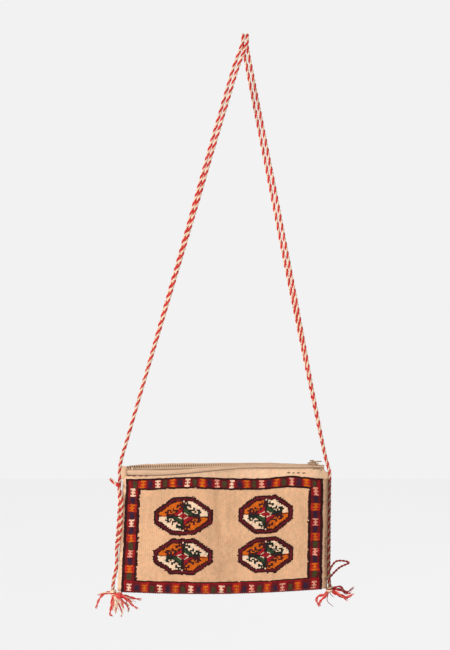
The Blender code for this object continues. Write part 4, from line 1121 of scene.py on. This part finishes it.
    def add_folded_end(self, cloth: Cloth) -> None:
        """The end of the tape, folded down over the top left corner: a flat pad with round ends."""
        share = np.linspace(-1, 1, 41)
        x, z = lerp(-115.9, -117.0, (share + 1) / 2), lerp(2.0, -13.0, (share + 1) / 2)
        path = np.stack([x + 0.3 * np.sin(4 * share), lerp(-2.8, -4.3, (share + 1) / 2), z], 1) * MM + BAG_AT
        pinched = 1 + 0.09 * np.sin(7 * share + 0.6) + 0.05 * np.sin(17 * share) + 0.16 * share**2
        radii = 3.1 * MM * np.clip(1.0 - np.abs(share) ** 4, 0.03, 1.0) ** 0.5 * pinched
        cloth.add_tube(path, radii, linear(Wool.HEM.value), 18, (1.0, 0.0, 0.0), 0.26)

    def chain_points(self, x: np.ndarray, y: np.ndarray, z: np.ndarray) -> np.ndarray:
        """Points of the chain's own frame, rolled about its line and turned by its tilt into the bag's place."""
        turn = self.roll_at(x)
        y, z = y * np.cos(turn) - z * np.sin(turn), z * np.cos(turn) + y * np.sin(turn)
        cosine, sine = math.cos(self.shape.tilt), math.sin(self.shape.tilt)
        return np.stack([x * cosine - z * sine, y, x * sine + z * cosine], -1) + BAG_AT

    def coil(self, side: int, word: str, finishes: Finishes) -> bpy.types.Object:
        """A coil of one filament: a flattened helix, with a row of stitches that hold it to the tape."""
        turns = round(2 * self.half_length / self.pitch)
        angle = np.linspace(0, 2 * math.pi * turns, turns * 14 + 1) + math.pi
        reach_y, reach_z = self.coil_width / 2 - self.filament, self.coil_height / 2 - self.filament
        span = self.half_length - self.filament
        x = np.linspace(-span, span, len(angle)) + 0.22 * self.pitch * np.sin(angle * 1.0)
        y = side * (self.slit / 2 + self.coil_width / 2 - 0.15 * MM - (reach_y + 0.15 * MM) * np.cos(angle))
        z = self.coil_height / 2 + reach_z * np.sin(angle)
        cloth = Cloth()
        nylon = linear(Yarn.BEIGE.value)
        cloth.add_tube(self.chain_points(x, y, z), self.filament, nylon, 6, (1.0, 0.0, 0.0))
        return cloth.piece(f"filament_coil_{word}", [finishes.get("coil_nylon")], "bag", (f"zip_coil_{word}",))

    def stitches(self, finishes: Finishes) -> bpy.types.Object:
        """Rows of lockstitch beside each coil, and the hand stitches that hold the front tape to its hem."""
        cloth = Cloth()
        thread = linear((232, 204, 172))
        for side in (-1, 1):
            for place in (2.95, 4.3):
                for k in range(76):
                    x = np.linspace(0, 1.9, 5) * MM + (-self.half_length + 1 * MM + k * 2.75 * MM)
                    arch = np.sin(np.linspace(0, math.pi, 5)) * 0.16 * MM
                    y = np.full(5, side * place * MM)
                    path = self.chain_points(x, y, -self.lift + arch + 0.02 * MM)
                    cloth.add_tube(path, 0.16 * MM, thread, 5, (0.0, 0.0, 1.0))
        return cloth.piece("tape_stitches", [finishes.get("sewing_thread")], "bag")

    def build(self, finishes: Finishes) -> None:
        """Makes the tapes and coils and dresses the nodes that stay."""
        for side, word in ((-1, "front"), (1, "back")):
            self.tape(side, word, finishes)
            self.coil(side, word, finishes)
        self.stitches(finishes)
        for name in ("zip_top_stop_front", "zip_top_stop_back", "zip_bottom_stop"):
            dress(name, finishes.get("coil_nylon"))
        for name in ("zip_slider", "zip_pull_tab"):
            dress(name, finishes.get("zip_brass"))


def dress(name: str, material: bpy.types.Material) -> None:
    """Gives a node of the frame its finish."""
    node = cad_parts[name]
    node.data.materials.clear()
    node.data.materials.append(material)


# Strap cords and loose yarn


LEFT_SEAM = [
    (-151.9, 0.0, -634.4, -90), (-151.6, 0.0, -629.0, -90), (-150.4, 0.0, -621.0, -90), (-148.3, 0.0, -612.0, -90),
    (-147.5, -0.3, -600.0, -90), (-147.4, -1.8, -587.0, -80), (-145.0, -4.9, -573.0, -52), (-143.9, -4.9, -560.0, -48),
    (-143.1, -5.2, -546.0, -48), (-142.5, -5.8, -533.0, -52), (-144.3, -2.6, -519.0, -80), (-143.9, -0.4, -508.0, -90),
    (-144.0, -0.2, -496.0, -90), (-142.0, -0.1, -485.0, -90),
]
LEFT_LIMB = [
    (-135.7, -0.4, -463.5, -90), (-119.6, -1.2, -408.0, -84), (-103.5, -2.2, -353.0, -74), (-87.4, -3.2, -298.0, -64),
    (-71.3, -4.3, -242.7, -54), (-55.3, -5.4, -187.5, -42), (-39.3, -6.6, -132.0, -30), (-23.0, -7.9, -77.0, -18),
    (-10.4, -8.8, -35.7, -8),
]
RIGHT_LIMB = [
    (5.2, 8.8, -35.7, 0), (15.9, 7.9, -90.9, 4), (32.0, 6.3, -173.7, 12), (42.6, 5.2, -229.0, 22),
    (53.3, 4.0, -284.0, 36), (64.0, 2.8, -339.0, 54), (74.6, 1.6, -394.5, 72), (85.6, 0.6, -450.0, 84),
]
RIGHT_SEAM = [
    (92.9, -0.4, -485.0, 90), (95.5, -0.8, -493.4, 90), (97.1, -0.6, -501.0, 90), (97.2, 0.2, -510.0, 90),
    (97.0, 0.8, -524.0, 90), (96.8, 1.0, -542.0, 90), (96.6, 1.0, -560.0, 90), (96.5, 0.8, -578.0, 90),
    (96.4, 0.4, -596.0, 90), (96.3, 0.0, -612.0, 90), (96.6, 0.0, -623.0, 90), (97.2, 0.0, -631.0, 90),
]


@dataclass
class StrapCord:
    """One two-ply cord of the strap: a red and a pale ply laid round each other in a right-handed helix."""

    side: int
    node: str
    phase: float
    diameter: float = 4.3 * MM
    spacing: float = 4.8 * MM
    hook_radius: float = 9.0 * MM
    lay: tuple = (8.8 * MM, 11.0 * MM)
    seam_length: float = 0.17
    ring_step: float = 0.95 * MM
    offset: float = 1.02 * MM
    ply: tuple = (1.08 * MM, 1.36 * MM)

    def route(self) -> np.ndarray:
        """The cord's middle line: the pair's line, moved half the spacing to its own side at the pair's angle."""
        over = np.radians(np.arange(180, -1, -30))
        hook = np.stack([0 * over, self.hook_radius * np.cos(over), self.diameter / 2 - self.hook_radius * (1 - np.sin(over)), 0 * over], 1)
        listed = [np.array(rows, float) * (MM, MM, MM, math.pi / 180) for rows in (LEFT_SEAM + LEFT_LIMB, RIGHT_LIMB + RIGHT_SEAM)]
        whole = np.vstack([listed[0], hook, listed[1]])
        centres, angles = whole[:, :3], whole[:, 3:]
        padded = np.vstack([centres[:1], centres, centres[-1:]])
        along = unit(padded[2:] - padded[:-2])
        wide = unit(np.array([1.0, 0.0, 0.0]) - along * along[:, :1])
        away = wide * np.cos(angles) + np.cross(along, wide) * np.sin(angles)
        return centres + away * self.side * self.spacing / 2

    def build(self, finishes: Finishes) -> tuple:
        """The cord and its middle line.

        Each ply's centre turns about the line at the offset, once in each lay, and its oval section turns with it, so
        that its short axis always points at the line.
        """
        line = smooth_path(self.route(), self.ring_step)
        length = run_lengths(line)
        _, wide, high = path_axes(line, (1.0, 0.0, 0.0))
        rng = np.random.default_rng(61 + self.side)
        from_end = np.minimum(length, length[-1] - length)
        lay = lerp(*self.lay, eased((from_end - self.seam_length + 0.02) / 0.04))
        turned = 2 * math.pi * np.concatenate([[0.0], np.cumsum(np.diff(length) / lay[1:])])
        wander = 0.35 * smooth_noise(length / 0.05, 0 * length, 60 + self.side)
        cloth = Cloth()
        colours = (Yarn.RED, Yarn.PALE)
        for number, yarn in enumerate(colours):
            turn = turned + math.pi * number + self.phase + wander
            cosine, sine = np.cos(turn)[:, None], np.sin(turn)[:, None]
            outward, around = wide * cosine + high * sine, high * cosine - wide * sine
            angle = np.linspace(0, 2 * math.pi, 10, endpoint=False)[:, None, None]
            swell = 1 + 0.07 * smooth_noise(length / 0.006, 0 * length + 9 * number, 64)[None, :, None]
            radial = self.ply[0] * np.cos(angle) * outward[None]
            rings = line[None] + outward[None] * self.offset + (radial + self.ply[1] * np.sin(angle) * around[None]) * swell
            tone = 1 + 0.10 * smooth_noise(length[1:] / 0.004, 0 * length[1:] + number, 67) + 0.03 * rng.standard_normal(len(length) - 1)
            # Painted shade: the last 127 mm of the cord, along the right seam, is drawn darker, as if the bag's right
            # side shades it.
            painted_shade = eased((0.127 - (length[-1] - length[1:])) / 0.008)[:, None] * np.array([0.66, 0.74, 0.78])
            tint = np.broadcast_to((linear(yarn.value) * tone[:, None] * (1 - painted_shade))[None], (10, len(tone), 3))
            first = cloth.add_grid(rings, tint.reshape(-1, 3), np.linspace(0, 1, 11), length / MM, ring=True)
            loop = first + np.arange(10) * len(line)
            cloth.add_fan(rings[:, 0].mean(0), loop, linear(yarn.value), (0.0, 0.0))
            cloth.add_fan(rings[:, -1].mean(0), (loop + len(line) - 1)[::-1], linear(yarn.value), (0.0, 0.0))
        made = cloth.piece(f"twisted_{self.node}", [finishes.get("cord_yarn")], "bag", (self.node,))
        return made, line


@dataclass(frozen=True)
class LooseEnd:
    """A stretch of unravelled yarn: one or two plies along a route, fraying at the end."""

    route: tuple
    yarns: tuple = (Yarn.RED, Yarn.PALE)
    radius: float = 0.82 * MM
    lay: float = 16.0 * MM
    tip: float = 0.6
    hairs: int = 5

    def add_to(self, cloth: Cloth, seed: int) -> None:
        """Adds the plies, side by side and slowly turning about the route, and the stray hairs at its tip."""
        line = smooth_path(np.array(self.route, float) * MM, 0.8 * MM)
        length = run_lengths(line)
        along, wide, high = path_axes(line, (0.0, 1.0, 0.0))
        share = length / length[-1]
        rng = np.random.default_rng(seed)
        for number, yarn in enumerate(self.yarns):
            turn = 2 * math.pi * (length / self.lay + number / len(self.yarns)) + seed
            away = self.radius * 0.92 * (len(self.yarns) > 1)
            path = line + away * (np.cos(turn)[:, None] * wide + np.sin(turn)[:, None] * high)
            radii = self.radius * lerp(1.0, self.tip, share**3) * (1 + 0.08 * smooth_noise(length / 0.003, 0 * length, seed + 7))
            tint = linear(yarn.value) * rng.uniform(0.88, 1.08)
            cloth.add_tube(path, radii, tint, 8)
            for _ in range(self.hairs):
                start = path[-1 - rng.integers(0, 4)]
                aim = unit(along[-1] + 0.35 * rng.normal(size=3))
                curl = rng.normal(size=3) * 0.6 * MM
                reach = rng.uniform(0.8, 2.4) * MM
                step = np.linspace(0, 1, 6)[:, None]
                hair = start + aim * reach * step + curl * step**2
                cloth.add_tube(hair, np.linspace(0.16, 0.05, 6) * MM, tint * 1.25, 4, (0.31, 0.93, 0.2))


def add_wrapped_knot(cloth: Cloth, centre: tuple, size: tuple, turns: int, yarns: tuple, seed: int) -> None:
    """A knot: turns of yarn wound round an upright oval, each a tilted ring of the oval's width at its height."""
    middle, half = np.array(centre) * MM, np.array(size) * MM
    rng = np.random.default_rng(seed)
    core = np.linspace(-1, 1, 13)
    path = middle + np.stack([0 * core, 0 * core, core * half[2] * 0.9], 1)
    # Painted shade: the core, seen between the turns, is drawn 0.8 times darker than its yarn.
    cloth.add_tube(path, half[0] * 0.75 * np.sqrt(np.clip(1.02 - core**2, 0.02, 1)), linear(yarns[0].value) * 0.8, 10, flat=half[1] / half[0])
    for k in range(turns):
        level = lerp(-0.62, 0.62, (k + 0.5) / turns)
        girth = math.sqrt(1 - level**2)
        angle = np.linspace(0, 2 * math.pi * 1.06, 30)
        tilt = 0.35 * rng.normal() + 0.5
        ring = np.stack([
            half[0] * 0.80 * girth * np.cos(angle),
            half[1] * 0.80 * girth * np.sin(angle),
            half[2] * (level + 0.22 * tilt * np.cos(angle) + 0.12 * angle / 6.6),
        ], 1)
        cloth.add_tube(middle + ring, half[0] * 0.30, linear(yarns[k % len(yarns)].value), 7, (0.05, 0.02, 1.0))


@dataclass
class YarnEnds:
    """Tassels, tuft and the pulled ply, placed where the frame's own solids are."""

    left_knot: tuple = (-151.9, 0.0, -638.7)
    right_knot: tuple = (97.3, 0.0, -635.3)
    tuft_knot: tuple = (-145.8, -8.0, -514.0)

    def left(self, finishes: Finishes) -> bpy.types.Object:
        """The left tassel."""
        at = self.left_knot
        red, pale, deep = (Yarn.RED,), (Yarn.PALE,), (Yarn.DEEP,)
        ends = [
            LooseEnd((at, (-156.5, -1, -638.9), (-162.5, -2, -640.5), (-168, -1.5, -647), (-171.3, 0, -656.6)), (Yarn.RED, Yarn.ROSE)),
            LooseEnd((at, (-152.6, -2.5, -646), (-153.8, -3, -655), (-155, -1.5, -663.5), (-152.9, 0.5, -666)), (Yarn.RED, Yarn.ROSE)),
            LooseEnd((at, (-149.5, -2, -645), (-144, -1, -655), (-141, 0, -662), (-143, 1, -666.5))),
            LooseEnd((at, (-147.5, 1, -643), (-140, 2.5, -650), (-134, 1, -654.5), (-134.5, 0, -660.5)), (Yarn.DEEP, Yarn.PALE)),
            LooseEnd((at, (-146, -3, -641.5), (-136, -4, -646), (-129.5, -3, -652.5), (-123.6, -2, -656.8)), (Yarn.RED, Yarn.RED)),
            LooseEnd((at, (-145.5, -1.5, -640.5), (-133, -1.5, -643.5), (-126, -2, -645.5), (-119.6, -1, -646.6)), (Yarn.RED, Yarn.RED)),
            LooseEnd((at, (-150.5, 3, -645), (-148, 4, -654), (-149.5, 3, -661)), (Yarn.PALE, Yarn.PALE)),
            LooseEnd((at, (-147.5, -3, -645), (-142.5, -3.5, -651), (-138.5, -2.5, -657.5)), (Yarn.PALE, Yarn.PALE)),
            LooseEnd((at, (-149, -4, -646), (-147.5, -4.5, -652), (-145, -3, -658.5)), pale, 0.85 * MM),
            LooseEnd((at, (-146, -4.5, -643), (-140.5, -5, -648), (-136.5, -4, -652), (-134, -3, -657)), red, 0.8 * MM),
            LooseEnd((at, (-144, -4, -640), (-138, -5, -642.5), (-133, -4, -646), (-130, -3, -650)), (Yarn.RED, Yarn.PALE)),
            LooseEnd((at, (-143, 0, -641.5), (-134, 1, -645), (-126, 1, -650)), pale, 0.45 * MM),
            LooseEnd((at, (-148, -1, -640.5), (-142, 1.5, -645), (-138, 1.5, -646), (-136, 0.5, -651)), deep, 0.6 * MM),
            LooseEnd((at, (-151, -3, -646), (-149, -4, -654), (-148.5, -2, -662)), (Yarn.ROSE, Yarn.PALE)),
            LooseEnd((at, (-147, -4, -642), (-141.5, -5.5, -647), (-139.5, -4.5, -655)), (Yarn.ROSE, Yarn.ROSE)),
            LooseEnd((at, (-146, -4.5, -640), (-138, -6, -642.5), (-131, -5, -648.5)), (Yarn.ROSE, Yarn.RED)),
            LooseEnd((at, (-158, -2.5, -638), (-165, -3, -639.5), (-168.5, -2.5, -641)), (Yarn.ROSE, Yarn.PALE), 0.7 * MM),
            LooseEnd((at, (-151, 2, -646), (-151.5, 3, -652), (-152.5, 2, -659)), (Yarn.ROSE, Yarn.PALE)),
        ]
        cloth = Cloth()
        for number, end in enumerate(ends):
            end.add_to(cloth, 100 + number)
        add_wrapped_knot(cloth, at, (3.6, 6.0, 4.0), 4, (Yarn.PALE, Yarn.RED, Yarn.PALE), 7)
        add_wrapped_knot(cloth, (-145.0, -3.0, -641.0), (4.2, 3.6, 2.8), 4, (Yarn.RED, Yarn.ROSE), 8)
        return cloth.piece("frayed_tassel_left", [finishes.get("loose_yarn")], "bag", ("tassel_left",))

    def right(self, finishes: Finishes) -> bpy.types.Object:
        """The right tassel, with its two thin threads."""
        at = self.right_knot
        thin = {"yarns": (Yarn.DEEP,), "radius": 0.42 * MM, "hairs": 3}
        ends = [
            LooseEnd((at, (102.5, -1.5, -633), (109, -2.5, -631.5), (116.5, -1.5, -638), (124.5, 0, -633.5)), (Yarn.BRICK, Yarn.DEEP), 0.72 * MM),
            LooseEnd((at, (102, 2, -635.5), (110, 3, -636.5), (117.5, 2.5, -640.5), (121.5, 3.5, -640)), (Yarn.RED, Yarn.BRICK), 0.9 * MM),
            LooseEnd((at, (102.5, -3, -637), (109, -4, -640.5), (116.5, -3, -643.5), (124, -2, -640.5)), (Yarn.RED, Yarn.ROSE), 0.95 * MM),
            LooseEnd((at, (103, 0, -639.5), (111, 0.5, -643.5), (117.5, 0, -647)), (Yarn.RED, Yarn.BRICK), 0.95 * MM),
            LooseEnd((at, (92, -3, -640), (83.5, -5, -642.5), (82, -4.5, -648), (86, -3, -653.8)), (Yarn.RED, Yarn.ROSE), 0.9 * MM),
            LooseEnd((at, (93.5, 1, -642), (87.5, 0.5, -648), (84.5, -0.5, -653.5)), (Yarn.RED, Yarn.ROSE), 0.9 * MM),
            LooseEnd((at, (95, -2, -642), (94.5, -1.5, -648), (101, -1, -654.5)), **thin),
            LooseEnd((at, (98.5, 2, -641), (101.5, 1, -644)), **thin),
        ]
        cloth = Cloth()
        for number, end in enumerate(ends):
            end.add_to(cloth, 200 + number)
        add_wrapped_knot(cloth, at, (3.6, 6.0, 4.0), 4, (Yarn.BEIGE, Yarn.PALE, Yarn.DEEP), 9)
        return cloth.piece("frayed_tassel_right", [finishes.get("loose_yarn")], "bag", ("tassel_right",))

    def tuft(self, finishes: Finishes) -> bpy.types.Object:
        """The knotted tuft at the top of the left seam: two loops that lean up and out."""
        at = self.tuft_knot
        ends = [
            LooseEnd((at, (-149.7, -9, -510.5), (-154, -9.5, -506.8)), (Yarn.RED, Yarn.PALE), 0.75 * MM),
            LooseEnd((at, (-149.2, -7.5, -512.5), (-153.5, -7.5, -509.5), (-154.8, -8.5, -508)), (Yarn.RED, Yarn.PALE), 0.75 * MM),
        ]
        cloth = Cloth()
        for number, end in enumerate(ends):
            end.add_to(cloth, 300 + number)
        add_wrapped_knot(cloth, at, (2.4, 2.0, 3.0), 3, (Yarn.RED,), 10)
        return cloth.piece("knotted_tuft", [finishes.get("loose_yarn")], "bag", ("seam_tuft",))

    def pulled_ply(self, finishes: Finishes) -> bpy.types.Object:
        """The ply that has sprung out of the right cord in a loop."""
        loop = (
            (97.6, -2.6, -612), (100.4, -2.0, -607), (104.8, -1, -602.8), (113.3, -1.5, -602.2), (119.6, -0.5, -604.4),
            (109.6, 0.5, -609.6), (101.8, -1.4, -616.2), (97.8, -2.6, -620.5),
        )
        cloth = Cloth()
        LooseEnd(loop, (Yarn.DEEP, Yarn.BRICK), 0.66 * MM, 8 * MM, 1.0, 0).add_to(cloth, 400)
        return cloth.piece("pulled_ply", [finishes.get("loose_yarn")], "bag", ("loose_ply_loop",))


# Hand sewing


@dataclass
class Sewing:
    """Threads that hold the cords to the selvedges and the front tape to its hem."""

    shape: BagShape

    def seam_threads(self, finishes: Finishes, cord: np.ndarray) -> bpy.types.Object:
        """Overcast stitches: each comes out of the margin, passes the selvedge and goes over the cord beside it."""
        cloth = Cloth()
        rng = np.random.default_rng(77)
        half = len(cord) // 2
        for share, side, run, count in ((0.0, -1, cord[:half], 19), (1.0, 1, cord[half:][::-1], 52)):
            thick = (0.26 if side < 0 else 0.42) * MM
            for k in range(count):
                level = lerp(-14.0, -130.0, (k + 0.4 * rng.uniform()) / count) * MM
                inward = 2.4 * MM / self.shape.width
                low = self.shape.wall_point(-1, abs(share - inward), level - 1.4 * MM, 0.2 * MM) + BAG_AT
                rim = self.shape.wall_point(-1, abs(share - 0.15 * inward), level - 0.4 * MM, 0.0) + BAG_AT
                on_cord = [np.interp(rim[2] + 0.8 * MM, run[:, 2], run[:, axis]) for axis in range(3)]
                over = np.array(on_cord) + np.array([-side * 0.6, -2.2, 0.0]) * MM
                path = smooth_path(np.array([low + (0, 0.6 * MM, 0), low, rim, over, over + (side * MM, 0.9 * MM, 0.4 * MM)]), 0.6 * MM)
                # On the right the threads are drawn dark brown: real stitches, whose dark colour also paints the shade
                # between the right margin and its cord.
                tint = linear((214, 172, 138) if side < 0 else (98, 58, 44)) * rng.uniform(0.7, 1.25)
                cloth.add_tube(path, thick, tint, 5, (0.1, 0.2, 1.0))
        return cloth.piece("overcast_thread", [finishes.get("sewing_thread")], "bag")

    def hem_threads(self, finishes: Finishes) -> bpy.types.Object:
        """Short stitches along the front hem: a beige row, and the dark ones that show, each at its own place."""
        cloth = Cloth()
        beige = [(4.2 * k, None, 2.2, 0.24) for k in range(-25, 26)]
        dark = [
            (-112.0, -9.0, 4.0, 0.50), (-106.2, -9.2, 3.4, 0.45), (-98.0, -9.2, 2.4, 0.45), (-91.4, -9.2, 2.4, 0.45),
            (70.6, -5.3, 3.6, 0.58), (76.2, -5.5, 3.2, 0.56), (81.6, -5.5, 3.6, 0.58), (87.8, -5.7, 4.0, 0.60),
            (100.6, -1.2, 1.6, 0.50), (103.8, -1.1, 1.6, 0.50), (106.6, -1.3, 1.6, 0.50), (109.0, -2.4, 1.6, 0.55),
        ]
        for x, level, long, thick in beige + dark:
            share = x * MM / self.shape.width + 0.5
            start = self.shape.front_hem(share) - (1.3 + 0.4 * math.sin(x * 0.55)) * MM if level is None else level * MM
            run = np.linspace(0, 1, 5)
            raised = (0.55 + 0.35 * np.sin(math.pi * run) - 0.9 * (run * (1 - run) == 0)) * MM
            places = self.shape.wall_point(-1, share + run * long * MM / self.shape.width, start + 0.5 * MM * run, raised)
            tint = linear((206, 168, 134)) if level is None else linear(Yarn.BROWN.value)
            cloth.add_tube(places + BAG_AT, thick * MM, tint, 6, (0.1, 0.2, 1.0))
        return cloth.piece("hem_stitches", [finishes.get("sewing_thread")], "bag")

    def build(self, finishes: Finishes, cord: np.ndarray) -> None:
        """Makes both rows, along the front cord."""
        self.seam_threads(finishes, cord)
        self.hem_threads(finishes)


# Studio


@dataclass(frozen=True)
class Studio:
    """Pale floor and background, soft lamps from the left, and the camera of the photograph."""

    middle: tuple = (-23.0 * MM, -331.2 * MM)
    frame_height: float = 747.5 * MM
    distance: float = 1.6
    background: tuple = (242, 242, 242)
    floor_level: float = -0.95

    def camera(self) -> None:
        """A level camera in front, whose frame height is the photograph's at the bag."""
        data = bpy.data.cameras.new("camera")
        data.sensor_fit = "VERTICAL"
        data.sensor_height = 24.0
        data.lens = 24.0 * self.distance / self.frame_height
        camera = bpy.data.objects.new("camera", data)
        camera.location = (self.middle[0], -self.distance, self.middle[1])
        camera.rotation_euler = (math.pi / 2, 0.0, 0.0)
        bpy.context.scene.collection.objects.link(camera)
        bpy.context.scene.camera = camera

    def lamp(self, name: str, place: tuple, size: float, power: float) -> None:
        """A square area lamp that faces the bag's middle."""
        data = bpy.data.lights.new(name, "AREA")
        data.energy, data.size = power, size
        lamp = bpy.data.objects.new(name, data)
        lamp.location = place
        aim = unit(np.array([self.middle[0], 0.0, -0.45]) - np.array(place))
        lamp.rotation_euler = (math.acos(-aim[2]), 0.0, math.atan2(-aim[0], aim[1]))
        bpy.context.scene.collection.objects.link(lamp)

    def world(self) -> None:
        """Plain light all round, which shows as the background to the camera and in gloss."""
        world = bpy.data.worlds.new("studio")
        bpy.context.scene.world = world
        world.use_nodes = True
        web = Web(world.node_tree)
        back = world.node_tree.nodes["Background"]
        path = web.node("ShaderNodeLightPath")
        seen = web.math("MAXIMUM", path.outputs["Is Camera Ray"], web.math("MAXIMUM", path.outputs["Is Glossy Ray"], path.outputs["Is Transmission Ray"]))
        shade = float(linear(self.background)[0])
        web.feed(back.inputs["Strength"], web.math("ADD", web.math("MULTIPLY", seen, shade - 0.30), 0.30))
        back.inputs["Color"].default_value = (1.0, 1.0, 1.0, 1.0)

    def floor(self) -> None:
        """A wide floor that shows nearly the background's colour and keeps a faint shadow."""
        x, y = np.meshgrid(np.linspace(-4, 4, 9), np.linspace(-4, 4, 9), indexing="ij")
        points = np.stack([x, y, np.full(x.shape, self.floor_level)], -1).reshape(-1, 3)
        i, j = np.meshgrid(np.arange(8), np.arange(8), indexing="ij")
        faces = np.stack([i * 9 + j, (i + 1) * 9 + j, (i + 1) * 9 + j + 1, i * 9 + j + 1], -1).reshape(-1, 4)
        mesh = bpy.data.meshes.new("floor")
        mesh.from_pydata(points.tolist(), [], faces.tolist())
        made = bpy.data.materials.new("pale_floor")
        made.use_nodes = True
        web = Web(made.node_tree)
        made.node_tree.nodes["Principled BSDF"].inputs["Base Color"].default_value = (0.85, 0.85, 0.85, 1.0)
        glow = web.node("ShaderNodeEmission")
        shade = float(linear(self.background)[0])
        glow.inputs["Color"].default_value = (shade * 1.022,) * 3 + (1.0,)
        path = web.node("ShaderNodeLightPath")
        seen = web.math("MAXIMUM", path.outputs["Is Camera Ray"], web.math("MAXIMUM", path.outputs["Is Glossy Ray"], path.outputs["Is Transmission Ray"]))
        mix = web.node("ShaderNodeMixShader")
        web.feed(mix.inputs[0], web.math("MULTIPLY", seen, 0.9))
        web.feed(mix.inputs[1], made.node_tree.nodes["Principled BSDF"].outputs[0])
        web.feed(mix.inputs[2], glow.outputs[0])
        web.feed(made.node_tree.nodes["Material Output"].inputs["Surface"], mix.outputs[0])
        mesh.materials.append(made)
        floor = bpy.data.objects.new("floor", mesh)
        bpy.context.scene.collection.objects.link(floor)

    def build(self) -> None:
        """Sets up the view, the lamps, the world and the floor."""
        scene = bpy.context.scene
        scene.view_settings.view_transform = "Standard"
        self.camera()
        self.world()
        self.floor()
        self.lamp("key", (-2.35, -1.05, 0.3), 0.7, 46.0)
        self.lamp("front", (0.3, -2.3, 0.2), 1.2, 21.0)
        self.lamp("back", (1.3, 1.9, 1.6), 1.0, 40.0)


def main() -> None:
    """Builds the studio and the bag."""
    logging.basicConfig(level=logging.INFO, format="%(message)s")
    Studio().build()
    finishes = Finishes()
    shape = BagShape()
    cords = [StrapCord(1, "strap_cord_a", 0.4).build(finishes), StrapCord(-1, "strap_cord_b", 2.1).build(finishes)]
    ends = YarnEnds()
    loose = [ends.left(finishes), ends.right(finishes), ends.tuft(finishes), ends.pulled_ply(finishes)]
    strip = WovenStrip(shape, PilePattern()).build(finishes)
    CoilZip(shape).build(finishes)
    Sewing(shape).build(finishes, cords[1][1])


if __name__ == "__main__":
    main()
